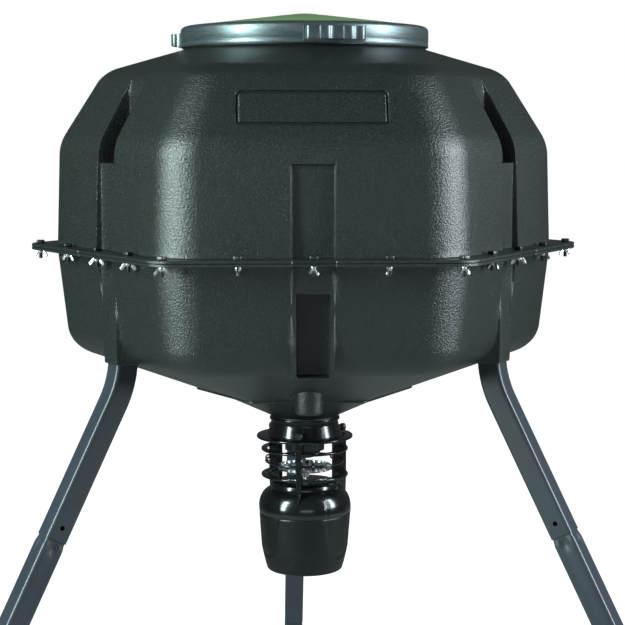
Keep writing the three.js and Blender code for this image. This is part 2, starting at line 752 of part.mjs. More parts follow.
// ---------------------------------------------------------------- latches
// Each is drawn on +X: X is outward from the band's face, Y along it, Z up from the band's edge.
function latchBase() {
  const bottom = LATCH_BASE_UP;
  const plate = box(
    [0, LATCH_BASE_THICK],
    [-LATCH_BASE_WIDTH / 2, LATCH_BASE_WIDTH / 2],
    [bottom, bottom + LATCH_BASE_HEIGHT],
  );
  const sides = 48;
  const clear = (BAND_RADIUS + GAP) / Math.cos(Math.PI / sides);
  const curve = rod(clear, -FUSE, LATCH_BASE_HEIGHT + RUN_ON, sides).translate([-BAND_RADIUS, 0, 0]);
  const rise = BAND_RADIUS - Math.sqrt(BAND_RADIUS ** 2 - (LATCH_BASE_WIDTH / 2) ** 2);
  const back = box(
    [-rise, FUSE],
    [-LATCH_BASE_WIDTH / 2, LATCH_BASE_WIDTH / 2],
    [bottom, bottom + LATCH_BASE_HEIGHT],
  );
  const inside = LATCH_TONGUE / 2 + GAP;
  const cheek = box(
    [0, LATCH_PIN_OUT],
    [inside, inside + LATCH_CHEEK],
    [LATCH_PIN_UP - LATCH_EYE, LATCH_PIN_UP + LATCH_EYE],
  ).add(rodY(LATCH_EYE, inside, inside + LATCH_CHEEK)
    .translate([LATCH_PIN_OUT, 0, LATCH_PIN_UP]));
  const pinHole = rodY(LATCH_PIN_RADIUS + GAP, -2 * RUN_ON, 2 * RUN_ON)
    .translate([LATCH_PIN_OUT, 0, LATCH_PIN_UP]);
  return cut(joined([plate, back, cheek, cheek.mirror([0, 1, 0])]), [curve, pinHole]);
}

function latchLever() {
  const half = LATCH_WIDTH / 2;
  const reach = LATCH_REACH;
  const leverBottom = LATCH_PIN_UP - LATCH_LEVER_DOWN;
  const bump = reach + LATCH_BUMP;
  const [bumpStart, topStart, topEnd, bumpEnd] = LATCH_BUMP_SPAN.map((share) => half * share);
  const outer = [
    [half, LATCH_BASE_THICK + 5 * GAP],
    [half, reach - LATCH_CHAMFER],
    [half - LATCH_CHAMFER, reach],
    [bumpStart, reach],
    [topStart, bump],
    [topEnd, bump],
    [bumpEnd, reach],
  ];
  const face = [...outer, ...outer.toReversed().map(([y, x]) => [-y, x])];
  const thin = LATCH_STRIP;
  const innerLine = face.map(([y, x]) => {
    const side = Math.abs(y) === half ? Math.sign(y) * (half - thin) : y;
    return [side, x - (Math.abs(y) === half ? 0 : thin)];
  });
  const outline = [...face, ...innerLine.toReversed()].map(([y, x]) => [x, y]);
  const strip = prism(outline, leverBottom, leverBottom + LATCH_HEIGHT);
  const tongue = box(
    [LATCH_PIN_OUT, reach - FUSE],
    [-LATCH_TONGUE / 2, LATCH_TONGUE / 2],
    [leverBottom, LATCH_PIN_UP + LATCH_EYE],
  );
  const eye = rodY(LATCH_EYE, -LATCH_TONGUE / 2, LATCH_TONGUE / 2)
    .translate([LATCH_PIN_OUT, 0, LATCH_PIN_UP]);
  const bore = rodY(LATCH_PIN_RADIUS + GAP, -2 * RUN_ON, 2 * RUN_ON)
    .translate([LATCH_PIN_OUT, 0, LATCH_PIN_UP]);
  return joined([strip, tongue, eye]).subtract(bore);
}

LATCH_HEADINGS.forEach((heading, i) => {
  const group = turnedGroup(heading);
  const halfPin = LATCH_TONGUE / 2 + GAP + LATCH_CHEEK + LATCH_PIN_PROUD;
  const pin = rodY(LATCH_PIN_RADIUS, -halfPin, halfPin)
    .translate([LATCH_PIN_OUT, 0, LATCH_PIN_UP]);
  const parts = [
    piece(group, `latch_bracket_${i + 1}`, latchBase(), looks.latch),
    piece(group, `latch_lever_${i + 1}`, latchLever(), looks.latch),
    piece(group, `latch_pin_${i + 1}`, pin, looks.steel),
  ];
  parts.forEach((part) => part.position.set(BAND_RADIUS, 0, bandZ));
});

// ---------------------------------------------------------------- legs
// Drawn in the XZ plane, X outward from the axis.
const down = new THREE.Vector2(Math.sin(lean), -Math.cos(lean));
const bendPoint = new THREE.Vector2(LEG_RADIUS, bendZ);

function legPoint(run) {
  return bendPoint.clone().addScaledVector(down, run);
}

// A round-cornered square across the leg, with `turnBy` its tilt from level.
function tubeRing(point, turnBy, size, corner) {
  return roundedRectangle(size, size, corner, 1).map(([p, q]) => [
    point.x + p * Math.cos(turnBy),
    q,
    point.y + p * Math.sin(turnBy),
  ]);
}

function straightTube(fromRun, toRun, size, corner) {
  return loft([toRun, fromRun].map((run) => tubeRing(legPoint(run), lean, size, corner)));
}

function neckedTube(shoulderRun, endRun) {
  const stations = [
    [endRun, TUBE, TUBE_CORNER],
    [shoulderRun + NECK_LENGTH, TUBE, TUBE_CORNER],
    [shoulderRun + GAP, plugSize, boreCorner],
    [shoulderRun - PLUG_DEPTH, plugSize, boreCorner],
  ];
  return loft(stations.map(([run, size, corner]) => {
    return tubeRing(legPoint(run), lean, size, corner);
  }));
}

function bentTube(topZ, endRun, size, corner) {
  const reach = BEND_RADIUS * Math.tan(lean / 2);
  const centre = new THREE.Vector2(LEG_RADIUS + BEND_RADIUS, bendZ + reach);
  const rings = [tubeRing(legPoint(endRun), lean, size, corner)];
  const steps = 5;
  for (let s = steps; s >= 0; s--) {
    const angle = lean * s / steps;
    const point = new THREE.Vector2(
      centre.x - BEND_RADIUS * Math.cos(angle),
      centre.y - BEND_RADIUS * Math.sin(angle),
    );
    rings.push(tubeRing(point, angle, size, corner));
  }
  rings.push(tubeRing(new THREE.Vector2(LEG_RADIUS, topZ), 0, size, corner));
  return loft(rings);
}

const tubeBore = TUBE - 2 * TUBE_WALL;
const boreCorner = TUBE_CORNER - TUBE_WALL;
const plugSize = tubeBore - 2 * PLUG_CLEARANCE;
const plugBore = plugSize - 2 * TUBE_WALL;
const legTopZ = jointZ - SOCKET_DEPTH_TOP - GAP;
const run1 = UPPER_BELOW_BEND;
const run2 = run1 + MIDDLE_SHOWN;
const run3 = run2 + LOWER_SHOWN;
const tubeEndRun = run3 - (FOOT_PAD + TUBE / 2 * Math.sin(lean)) / Math.cos(lean);

function pinHole(run) {
  const at = legPoint(run - PIN_HOLE_FROM_END);
  return rodY(PIN_HOLE_RADIUS, -TUBE, TUBE, 8).translate([at.x, 0, at.y]);
}

const upperLeg = cut(bentTube(legTopZ, run1, TUBE, TUBE_CORNER), [
  bentTube(legTopZ + 5, run1 + 5, tubeBore, boreCorner),
  pinHole(run1),
]);
const middleLeg = cut(neckedTube(run1, run2), [
  straightTube(run1 - PLUG_DEPTH - 5, run2 - PLUG_DEPTH, plugBore, 2),
  straightTube(run2 - PLUG_DEPTH - 5, run2 + 5, tubeBore, boreCorner),
  pinHole(run2),
  pinHole(run1),
]);
const lowerLeg = cut(neckedTube(run2, tubeEndRun), [
  straightTube(run2 - PLUG_DEPTH - 5, tubeEndRun + 5, plugBore, 2),
  pinHole(run2),
]);

function legFoot() {
  const circle = (radius, x, z) => arc(x, 0, radius, radius, 0, 337.5, 15).map((p) => [...p, z]);
  const axisAt = (z) => LEG_RADIUS + (bendZ - z) * Math.tan(lean);
  const pad = loft([
    circle(FOOT_RADIUS, axisAt(0), 0),
    circle(FOOT_RADIUS, axisAt(0), FOOT_PAD / 2),
    circle(FOOT_RADIUS - 3, axisAt(FOOT_PAD), FOOT_PAD + 4),
  ]);
  const bootRun = run3 - FOOT_BOOT;
  const bootSize = TUBE + 2 * (FOOT_WALL + GAP);
  const boot = straightTube(bootRun, run3, bootSize, TUBE_CORNER + FOOT_WALL);
  const ground = box([0, 2000], [-100, 100], [-100, 0]);
  const pocket = straightTube(bootRun - 5, tubeEndRun + GAP, TUBE + 2 * GAP, TUBE_CORNER);
  return cut(joined([pad, boot]), [ground, pocket]);
}

LEG_FACES.forEach((heading, i) => {
  const group = turnedGroup(heading);
  piece(group, `upper_leg_${i + 1}`, upperLeg, looks.leg);
  piece(group, `middle_leg_${i + 1}`, middleLeg, looks.leg);
  piece(group, `lower_leg_${i + 1}`, lowerLeg, looks.leg);
  piece(group, `leg_foot_${i + 1}`, legFoot(), looks.rubber);
});

// ---------------------------------------------------------------- spinner unit housing
const dropZ = (drop) => spoutTopZ - drop;
const domeZ = dropZ(NECK_TOP_DROP + NECK_HEIGHT + DOME_HEIGHT);
const seamZ = dropZ(SEAM_DROP);
const neckTopZ = dropZ(NECK_TOP_DROP);
const domeReach = HOUSING_RADIUS - NECK_RADIUS;

function domeProfile(offset) {
  return [
    [HOUSING_RADIUS + offset, seamZ + GAP / 2],
    ...arc(NECK_RADIUS, domeZ, domeReach + offset, DOME_HEIGHT + offset, 0, 84, 5),
  ];
}

const skirtRadius = HOUSING_RADIUS - HOUSING_WALL - 2.5;
const housingTop = turn([
  [SHAFT_RADIUS + 2, neckTopZ],
  [NECK_RADIUS, neckTopZ],
  ...domeProfile(0).toReversed(),
  [skirtRadius, seamZ + GAP / 2],
  [skirtRadius, seamZ - SKIRT_DROP],
  [skirtRadius - HOUSING_WALL, seamZ - SKIRT_DROP],
  [skirtRadius - HOUSING_WALL, domeZ],
  ...arc(NECK_RADIUS, domeZ, domeReach - HOUSING_WALL, DOME_HEIGHT - HOUSING_WALL, 30, 84, 2),
  [NECK_RADIUS - HOUSING_WALL, neckTopZ - HOUSING_WALL],
  [SHAFT_RADIUS + 2, neckTopZ - HOUSING_WALL],
]);
piece(feeder, 'housing_top', housingTop, looks.guard);

const cupBottomZ = seamZ - CUP_HEIGHT;
const cupTopZ = seamZ - GAP / 2;
const cupOuter = (offset) => [
  ...arc(
    CUP_BASE_RADIUS - CUP_BASE_ROUND,
    cupBottomZ + CUP_BASE_ROUND,
    CUP_BASE_ROUND + offset,
    CUP_BASE_ROUND + offset,
    -90,
    0,
    3,
  ),
  [CUP_WAIST_RADIUS + offset, cupBottomZ + CUP_WAIST_HEIGHT],
  [HOUSING_RADIUS - 0.5 + offset, cupTopZ],
];
const housingCup = turn([
  [0, cupBottomZ],
  ...cupOuter(0),
  ...cupOuter(-HOUSING_WALL).toReversed(),
  [0, cupBottomZ + HOUSING_WALL],
]);
piece(feeder, 'housing_cup', housingCup, looks.cup);

// ---------------------------------------------------------------- guard frame
const deckTopZ = dropZ(DECK_DROP);
const deckZ = deckTopZ - DECK_THICK;
const collarBore = SPOUT_RADIUS + COLLAR_CLEARANCE;
const collarTopZ = dropZ(COLLAR_TOP_DROP);

function flatRing(outer, width, topZ, thick) {
  return turn([
    [outer - width, topZ - thick],
    [outer, topZ - thick],
    [outer, topZ],
    [outer - width, topZ],
  ]);
}

function blade() {
  const pointZ = dropZ(BLADE_POINT_DROP);
  const half = BLADE_THICK / 2;
  const outline = [
    [-half, deckZ + FUSE],
    [-half, pointZ + BLADE_TAPER],
    [0, pointZ],
    [half, pointZ + BLADE_TAPER],
    [half, deckZ + FUSE],
  ];
  // The outline's up is turned to +Z and its thickness to +X, the way out from the axis.
  return prism(outline, BLADE_INNER, BLADE_OUTER).rotate([90, 0, 90]);
}

function thumbHole(heading) {
  const z = deckTopZ + THUMB_ABOVE_DECK;
  return about(rodX(THUMB_SHAFT + GAP, SPOUT_RADIUS - 4, THUMB_GRIP_FROM_AXIS, z, 12), heading);
}

function guardFrame() {
  const collar = turn([
    [collarBore, deckZ + FUSE],
    [collarBore + COLLAR_WALL + COLLAR_FLARE, deckZ + FUSE],
    [collarBore + COLLAR_WALL, collarTopZ - 10],
    [collarBore + COLLAR_WALL, collarTopZ - 4],
    [collarBore + COLLAR_WALL + COLLAR_LIP, collarTopZ - 4],
    [collarBore + COLLAR_WALL + COLLAR_LIP, collarTopZ],
    [collarBore, collarTopZ],
  ]);
  const deck = flatRing(DECK_RADIUS, DECK_RADIUS - FUNNEL_RADIUS - 2 * GAP, deckTopZ, DECK_THICK);
  const ring = flatRing(RING_RADIUS, RING_WIDTH, dropZ(RING_DROP), RING_THICK);
  const wire = turn(arc(WIRE_RADIUS, dropZ(WIRE_DROP), WIRE_THICK, WIRE_THICK, 0, 300, 5));
  const lowRing = flatRing(RING_RADIUS, RING_WIDTH + 5, dropZ(LOW_RING_DROP), RING_THICK);
  const blades = BLADE_HEADINGS.map((heading) => about(blade(), heading));
  const housing = turn([
    [0, neckTopZ + 1],
    [NECK_RADIUS + 2 * GAP, neckTopZ + 1],
    ...domeProfile(2 * GAP).toReversed(),
    [0, seamZ],
  ]);
  return cut(joined([collar, deck, ring, wire, lowRing, ...blades]), [
    housing,
    ...BLADE_HEADINGS.map(thumbHole),
  ]);
}

piece(feeder, 'guard_frame', guardFrame(), looks.guard);

// ---------------------------------------------------------------- feed funnel
const tubeZ = dropZ(FUNNEL_TUBE_DROP);
const tipZ = dropZ(FUNNEL_TIP_DROP);
const funnelFlangeZ = deckTopZ + GAP;
const feedFunnel = turn([
  [FUNNEL_RADIUS - FUNNEL_WALL, funnelFlangeZ + 2.5],
  [FUNNEL_FLANGE, funnelFlangeZ + 2.5],
  [FUNNEL_FLANGE, funnelFlangeZ],
  [FUNNEL_RADIUS, funnelFlangeZ],
  [FUNNEL_RADIUS, tubeZ],
  [FUNNEL_RADIUS - 7, tubeZ - 2],
  [FUNNEL_RADIUS - 7, tubeZ - 5],
  [FUNNEL_TIP_RADIUS, tipZ],
  [FUNNEL_TIP_RADIUS - FUNNEL_WALL, tipZ],
  [FUNNEL_RADIUS - 7 - FUNNEL_WALL, tubeZ - 4],
  [FUNNEL_RADIUS - FUNNEL_WALL, tubeZ + 1],
], 24);
piece(feeder, 'feed_funnel', feedFunnel, looks.guard);

// ---------------------------------------------------------------- spinner
const spinnerZ = dropZ(SPINNER_DROP);
const hubTopZ = spinnerZ - GAP;
const hubZ = hubTopZ - HUB_HEIGHT;
const setScrewZ = hubZ + HUB_HEIGHT / 2;

function spinnerPlate() {
  const bore = SHAFT_RADIUS + GAP;
  const dish = turn([
    [bore, spinnerZ],
    [SPINNER_RADIUS, spinnerZ],
    [SPINNER_RADIUS, spinnerZ + SPINNER_RIM],
    [SPINNER_RADIUS - SPINNER_THICK, spinnerZ + SPINNER_RIM],
    [SPINNER_RADIUS - SPINNER_THICK, spinnerZ + SPINNER_THICK],
    [bore, spinnerZ + SPINNER_THICK],
  ], 28);
  const vane = box(
    [HUB_RADIUS, SPINNER_RADIUS - SPINNER_THICK / 2],
    [-SPINNER_THICK / 2, SPINNER_THICK / 2],
    [spinnerZ + SPINNER_THICK / 2, spinnerZ + VANE_HEIGHT],
  );
  const vanes = Array.from({ length: VANES }, (_, i) => about(vane, 360 / VANES * i));
  return joined([dish, ...vanes]);
}

const spinnerHub = cut(rod(HUB_RADIUS, hubZ, hubTopZ), [
  rod(SHAFT_RADIUS + GAP, hubZ - 1, hubTopZ + 1, 16),
  rodX(SET_SCREW_RADIUS + GAP, 0, HUB_RADIUS + 2, setScrewZ),
]);
const setScrewStart = SHAFT_RADIUS + GAP;
const setScrew = rodX(SET_SCREW_RADIUS, setScrewStart, setScrewStart + SET_SCREW_LENGTH, setScrewZ);
const motorTopZ = neckTopZ - HOUSING_WALL - GAP;
const motorZ = motorTopZ - MOTOR_LENGTH;
const shaftZ = motorTopZ - MOTOR_LENGTH / 2;
const shaftTopZ = spinnerZ + SPINNER_THICK + 3;

piece(feeder, 'spinner_plate', spinnerPlate(), looks.steel);
piece(feeder, 'spinner_hub', spinnerHub, looks.zinc);
piece(feeder, 'hub_set_screw', setScrew, looks.steel);
piece(feeder, 'motor_shaft', rod(SHAFT_RADIUS, shaftZ, shaftTopZ, 16), looks.steel);

const motorBore = rod(SHAFT_RADIUS + GAP, shaftZ - GAP, motorTopZ + 1, 16);
piece(feeder, 'motor', rod(MOTOR_RADIUS, motorZ, motorTopZ).subtract(motorBore), looks.zinc);

// ---------------------------------------------------------------- battery and timer
const batteryZ = cupBottomZ + HOUSING_WALL + GAP;
const batteryTopZ = batteryZ + BATTERY_HEIGHT;
const batteryBody = prism(roundedRectangle(BATTERY_SIDE, BATTERY_SIDE, 4, 2), batteryZ, batteryTopZ)
  .translate([0, BATTERY_BACK, 0]);
piece(feeder, 'battery', batteryBody, looks.battery);
[-1, 1].forEach((side, i) => {
  const z0 = batteryTopZ + GAP;
  const terminal = rod(TERMINAL_RADIUS, z0, z0 + TERMINAL_HEIGHT, 12)
    .translate([side * BATTERY_SIDE / 4, BATTERY_BACK + BATTERY_SIDE / 4, 0]);
  piece(feeder, `battery_terminal_${i + 1}`, terminal, looks.steel);
});

const timerBackY = BATTERY_BACK - BATTERY_SIDE / 2 - TIMER_TO_BATTERY;
const timerFrontY = timerBackY - TIMER_DEPTH;
const timerTopZ = neckTopZ - TIMER_BELOW_NECK;
const timerZ = timerTopZ - TIMER_HEIGHT;
const lensZ = timerTopZ - 30;
const buttonZ = timerZ + 24;
const buttonXs = [-BUTTON_PITCH, 0, BUTTON_PITCH];

function facePlate(width, height, y0, y1, z) {
  return box([-width / 2, width / 2], [y0, y1], [z - height / 2, z + height / 2]);
}

const buttonHoles = buttonXs.map((x) => {
  const depth = BUTTON_LENGTH - BUTTON_SHOWN + BUTTON_TRAVEL + GAP;
  return rodY(BUTTON_RADIUS + GAP, timerFrontY - 1, timerFrontY + depth)
    .translate([x, 0, buttonZ]);
});
const lensPocket = facePlate(
  LENS_WIDTH + 2 * GAP,
  LENS_HEIGHT + 2 * GAP,
  timerFrontY - 1,
  timerFrontY + LENS_THICK + GAP,
  lensZ,
);
const timerCase = cut(
  box([-TIMER_WIDTH / 2, TIMER_WIDTH / 2], [timerFrontY, timerBackY], [timerZ, timerTopZ]),
  [lensPocket, ...buttonHoles],
);
piece(feeder, 'timer_case', timerCase, looks.timer);
const lens = facePlate(LENS_WIDTH, LENS_HEIGHT, timerFrontY, timerFrontY + LENS_THICK, lensZ);
piece(feeder, 'timer_lens', lens, looks.lens);
buttonXs.forEach((x, i) => {
  const button = rodY(BUTTON_RADIUS, timerFrontY - BUTTON_SHOWN,
    timerFrontY - BUTTON_SHOWN + BUTTON_LENGTH).translate([x, 0, buttonZ]);
  piece(feeder, `timer_button_${i + 1}`, button, looks.button);
});

// ---------------------------------------------------------------- thumb screws
const thumbZ = deckTopZ + THUMB_ABOVE_DECK;
BLADE_HEADINGS.forEach((heading, i) => {
  const group = turnedGroup(heading);
  const gripEnd = THUMB_GRIP_FROM_AXIS + THUMB_GRIP;
  const screw = joined([
    rodX(THUMB_SHAFT, SPOUT_RADIUS + GAP, THUMB_GRIP_FROM_AXIS + FUSE, 0, 12),
    rodX(THUMB_RADIUS, THUMB_GRIP_FROM_AXIS, gripEnd, 0, 12),
  ]);
  piece(group, `thumb_screw_${i + 1}`, screw, looks.rubber).position.set(0, 0, thumbZ);
});

// ---------------------------------------------------------------- origin
// The feet's bounding circle sets the footprint; the origin is under its middle, on the ground.
feeder.updateMatrixWorld(true);
const bounds = new THREE.Box3().setFromObject(feeder, true);
const middle = bounds.getCenter(new THREE.Vector3());
feeder.position.set(-middle.x, -middle.y, -bounds.min.z);
feeder.updateMatrixWorld(true);

export default feeder;
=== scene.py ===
import json
import math

import bmesh
import bpy
from mathutils import Matrix, Vector

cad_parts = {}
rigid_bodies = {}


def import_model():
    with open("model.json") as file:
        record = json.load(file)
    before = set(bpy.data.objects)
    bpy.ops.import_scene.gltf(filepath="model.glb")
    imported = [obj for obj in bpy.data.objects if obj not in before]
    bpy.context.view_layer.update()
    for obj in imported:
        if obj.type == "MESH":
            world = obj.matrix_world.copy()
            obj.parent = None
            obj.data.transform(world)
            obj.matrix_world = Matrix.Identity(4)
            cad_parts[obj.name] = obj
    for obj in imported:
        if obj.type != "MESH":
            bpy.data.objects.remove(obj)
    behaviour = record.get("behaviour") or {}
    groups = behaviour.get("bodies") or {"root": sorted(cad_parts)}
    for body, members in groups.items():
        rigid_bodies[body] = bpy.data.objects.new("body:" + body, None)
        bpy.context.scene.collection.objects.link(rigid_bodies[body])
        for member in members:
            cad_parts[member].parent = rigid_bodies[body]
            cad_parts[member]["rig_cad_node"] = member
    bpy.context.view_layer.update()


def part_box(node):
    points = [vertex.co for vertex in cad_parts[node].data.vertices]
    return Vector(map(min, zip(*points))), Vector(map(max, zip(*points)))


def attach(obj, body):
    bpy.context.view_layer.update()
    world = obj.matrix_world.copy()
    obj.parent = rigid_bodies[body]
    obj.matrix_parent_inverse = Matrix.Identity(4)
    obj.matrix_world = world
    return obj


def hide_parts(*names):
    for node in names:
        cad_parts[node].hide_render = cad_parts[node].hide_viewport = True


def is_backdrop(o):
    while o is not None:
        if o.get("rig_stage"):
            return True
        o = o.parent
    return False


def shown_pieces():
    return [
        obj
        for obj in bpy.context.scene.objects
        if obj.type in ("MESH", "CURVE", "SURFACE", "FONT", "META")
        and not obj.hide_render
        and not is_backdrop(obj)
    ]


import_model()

# ---------------------------------------------------------------- studio
# A pale seamless floor under soft light, with a tall softbox at each side of the front. The
# feeder stands on the floor, and the camera looks at it from chest height.
MM = 0.001
cup_low, cup_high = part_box("housing_cup")
axis = Vector(((cup_low.x + cup_high.x) / 2, (cup_low.y + cup_high.y) / 2, 0))


def linear(code):
    """An sRGB hex colour as the linear colour that a shader takes."""
    parts = [int(code[i:i + 2], 16) / 255 for i in (1, 3, 5)]
    return (*[p / 12.92 if p <= 0.04045 else ((p + 0.055) / 1.055) ** 2.4 for p in parts], 1)


def add(tree, kind, settings=None, inputs=None):
    """Adds a node: its settings are attributes, and an input is a value or another's output."""
    node = tree.nodes.new(kind)
    for key, value in (settings or {}).items():
        setattr(node, key, value)
    for key, value in (inputs or {}).items():
        if isinstance(value, bpy.types.NodeSocket):
            tree.links.new(value, node.inputs[key])
        else:
            node.inputs[key].default_value = value
    return node


def material(name, colour, **inputs):
    """A Principled material, with its node tree and shader, ready for patterns."""
    finish = bpy.data.materials.new(name)
    finish.use_nodes = True
    tree = finish.node_tree
    tree.nodes.clear()
    shader = add(tree, "ShaderNodeBsdfPrincipled", inputs={"Base Color": linear(colour), **inputs})
    add(tree, "ShaderNodeOutputMaterial", inputs={"Surface": shader.outputs["BSDF"]})
    return finish, tree, shader


def aim(thing, place, target):
    """Puts a light at a place, in metres from the hopper's axis, facing a target."""
    thing.location = axis + Vector(place)
    facing = axis + Vector(target) - thing.location
    thing.rotation_euler = facing.to_track_quat("-Z", "Y").to_euler()


CAMERA_AWAY = 2.872
CAMERA_HEIGHT = 1.4947
CAMERA_SWING = math.radians(2)
CAMERA_TURN = math.radians(2.27)
CAMERA_TILT = math.radians(6.2)
camera = bpy.data.objects.new("camera", bpy.data.cameras.new("camera"))
camera.data.sensor_width = 36
camera.data.lens = 96.8
camera.location = axis + Vector((
    -CAMERA_AWAY * math.sin(CAMERA_SWING),
    -CAMERA_AWAY * math.cos(CAMERA_SWING),
    CAMERA_HEIGHT,
))
camera.rotation_euler = (math.pi / 2 - CAMERA_TILT, 0, -CAMERA_TURN)
bpy.context.scene.collection.objects.link(camera)
bpy.context.scene.camera = camera
bpy.context.scene.view_settings.view_transform = "Standard"

FLOOR_HALF = 40
floor_mesh = bpy.data.meshes.new("floor")
floor_mesh.from_pydata(
    [(x * FLOOR_HALF, y * FLOOR_HALF, 0) for x, y in ((-1, -1), (1, -1), (1, 1), (-1, 1))],
    [],
    [(0, 1, 2, 3)],
)
floor = bpy.data.objects.new("floor", floor_mesh)
# Matt white studio floor: even, with only a trace of unevenness in its tone. It is lit bright
# enough to look white, but throws little of that light back up at the hopper.
floor_finish, tree, shader = material("matt_white_floor", "#8f9191", Roughness=0.9)
shader.inputs["Emission Color"].default_value = linear("#ffffff")
seen = add(tree, "ShaderNodeLightPath")
glow = add(tree, "ShaderNodeMath", {"operation": "MULTIPLY_ADD"}, {
    0: seen.outputs["Is Camera Ray"], 1: 1.0, 2: 0.02,
})
tree.links.new(glow.outputs[0], shader.inputs["Emission Strength"])
where = add(tree, "ShaderNodeTexCoord")
tone = add(tree, "ShaderNodeTexNoise", inputs={"Vector": where.outputs["Object"], "Scale": 0.7})
even = add(tree, "ShaderNodeMix", {"data_type": "RGBA"}, {
    "Factor": tone.outputs["Fac"], "A": linear("#8c8e8e"), "B": linear("#939494"),
})
tree.links.new(even.outputs["Result"], shader.inputs["Base Color"])
floor_mesh.materials.append(floor_finish)
bpy.context.scene.collection.objects.link(floor)
floor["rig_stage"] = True

world = bpy.data.worlds.new("studio")
world.use_nodes = True
world.node_tree.nodes.clear()
seen = add(world.node_tree, "ShaderNodeLightPath")
around = add(world.node_tree, "ShaderNodeBackground", inputs={
    "Color": linear("#e6eef2"), "Strength": 0.10,
})
behind = add(world.node_tree, "ShaderNodeBackground", inputs={
    "Color": linear("#ffffff"), "Strength": 1.0,
})
either = add(world.node_tree, "ShaderNodeMixShader", inputs={
    0: seen.outputs["Is Camera Ray"], 1: around.outputs[0], 2: behind.outputs[0],
})
add(world.node_tree, "ShaderNodeOutputWorld", inputs={"Surface": either.outputs[0]})
bpy.context.scene.world = world

SOFTBOXES = {
    "left_softbox": ((-2.25, -1.4, 1.95), (0.6, 2.0), 185, "#e6fffb"),
    "right_softbox": ((2.5, -0.9, 1.95), (0.9, 2.0), 165, "#ecfbff"),
    "front_softbox": ((0.2, -4.2, 1.15), (2.2, 0.5), 10, "#eaf4ff"),
}
for name, (place, size, power, tint) in SOFTBOXES.items():
    light = bpy.data.objects.new(name, bpy.data.lights.new(name, "AREA"))
    light.data.shape = "RECTANGLE"
    light.data.size, light.data.size_y = size
    light.data.energy = power
    light.data.color = linear(tint)[:3]
    aim(light, place, (0, 0, 1.2))
    bpy.context.scene.collection.objects.link(light)

# ---------------------------------------------------------------- upper hopper shell
# The top half of the hopper is one hollow moulding in textured dark green-black HDPE, a hexagon
# with round corners that slopes in to a round mouth. Each face has a shallow strip, three have
# a deep notch above it where a leg's pocket ends, and the front has a framed blank name panel.
WALL = 4
GAP = 0.3
JOINT_Z = 1298.66
JOINT_APOTHEM = 375
JOINT_CORNER = 88
FLANGE_APOTHEM = 408
FLANGE_CORNER = 48
FLANGE_THICK = 5
SHOULDER = {"apothem": 369.8, "corner": 86, "z": JOINT_Z + 173.7, "round": 80}
CROWN = {"apothem": 301.9, "corner": 70, "z": JOINT_Z + 292.4, "round": 50}
MOUTH_RADIUS = 203
MOUTH_WALL = 6
MOUTH_Z = JOINT_Z + 330.2
MOUTH_TOP_Z = MOUTH_Z + 21.2
STRIP_WIDTH = 65
STRIP_FLOOR = 364.8
STRIP_TOP_Z = JOINT_Z + 144.4
NOTCH_WIDTH = 54
NOTCH_BACK = 316
PLATE_WIDTH = 231
PLATE_HEIGHT = 60
PLATE_CORNER = 8.5
PLATE_GROOVE = 4.4
PLATE_DEPTH = 3
PLATE_Z = JOINT_Z + 229
FRONT = 0
LEG_SIDES = (1, 3, 5)
CORNER_STEPS = 12


def eased(share):
    share = min(max(share, 0), 1)
    return share * share * (3 - 2 * share)


def window(x, low, high, soft=1.2):
    """1 between low and high, and 0 outside, with a rounded edge at each."""
    return eased((x - low) / (2 * soft) + 0.5) * eased((high - x) / (2 * soft) + 0.5)


def edge(x, soft=1.2):
    """Grid lines that draw a rounded edge at x."""
    return [x + soft * share for share in (-1.05, -0.7, -0.4, -0.13, 0.13, 0.4, 0.7, 1.05)]


def both_sides(values):
    return sorted({0, *values, *(-v for v in values)})


def rounded_stations(stations, steps=12):
    """Rounds the marked stations of a profile with an arc of their own radius."""
    out = []
    for i, station in enumerate(stations):
        if "round" not in station:
            out.append(station)
            continue
        here = Vector((station["apothem"], station["z"]))
        ends = []
        for other in (stations[i - 1], stations[i + 1]):
            ray = Vector((other["apothem"], other["z"])) - here
            ends.append((ray, other))
        inside = ends[0][0].angle(ends[1][0])
        reach = station["round"] / math.tan(inside / 2)
        bisector = (ends[0][0].normalized() + ends[1][0].normalized()).normalized()
        centre = here + bisector * station["round"] / math.sin(inside / 2)
        touch = [here + ray.normalized() * reach - centre for ray, _ in ends]
        corners = [
            station["corner"] + (other["corner"] - station["corner"]) * reach / ray.length
            for ray, other in ends
        ]
        for step in range(steps + 1):
            share = step / steps
            spoke = touch[0].lerp(touch[1], share).normalized() * station["round"]
            out.append({
                "apothem": centre.x + spoke.x,
                "corner": corners[0] + (corners[1] - corners[0]) * share,
                "z": centre.y + spoke.y,
            })
    return out


def with_rows(stations, heights):
    """Adds stations at these heights, on the straight lines between the ones there are."""
    out = [stations[0]]
    for low, high in zip(stations, stations[1:]):
        rise = high["z"] - low["z"]
        inside = [h for h in heights if 0.02 < (h - low["z"]) / rise < 0.98] if rise else []
        for height in sorted(inside, reverse=rise < 0):
            share = (height - low["z"]) / rise
            out.append({
                key: low[key] + (high[key] - low[key]) * share for key in ("apothem", "corner", "z")
            })
        out.append(high)
    return out


def moved_in(stations, wall):
    """The same profile one wall thickness further in."""
    out = []
    for i, station in enumerate(stations):
        before = stations[max(i - 1, 0)]
        after = stations[min(i + 1, len(stations) - 1)]
        along = Vector((after["apothem"] - before["apothem"], after["z"] - before["z"]))
        along.normalize()
        thick = station.get("wall", wall)
        if i in (0, len(stations) - 1):
            along = Vector((0, 1 if stations[-1]["z"] > stations[0]["z"] else -1))
        turn = 1 if stations[-1]["z"] > stations[0]["z"] else -1
        out.append({
            "apothem": station["apothem"] - thick * along.y * turn,
            "corner": max(station["corner"] - thick * along.y * turn, 1),
            "z": station["z"] + thick * along.x * turn,
        })
    return out


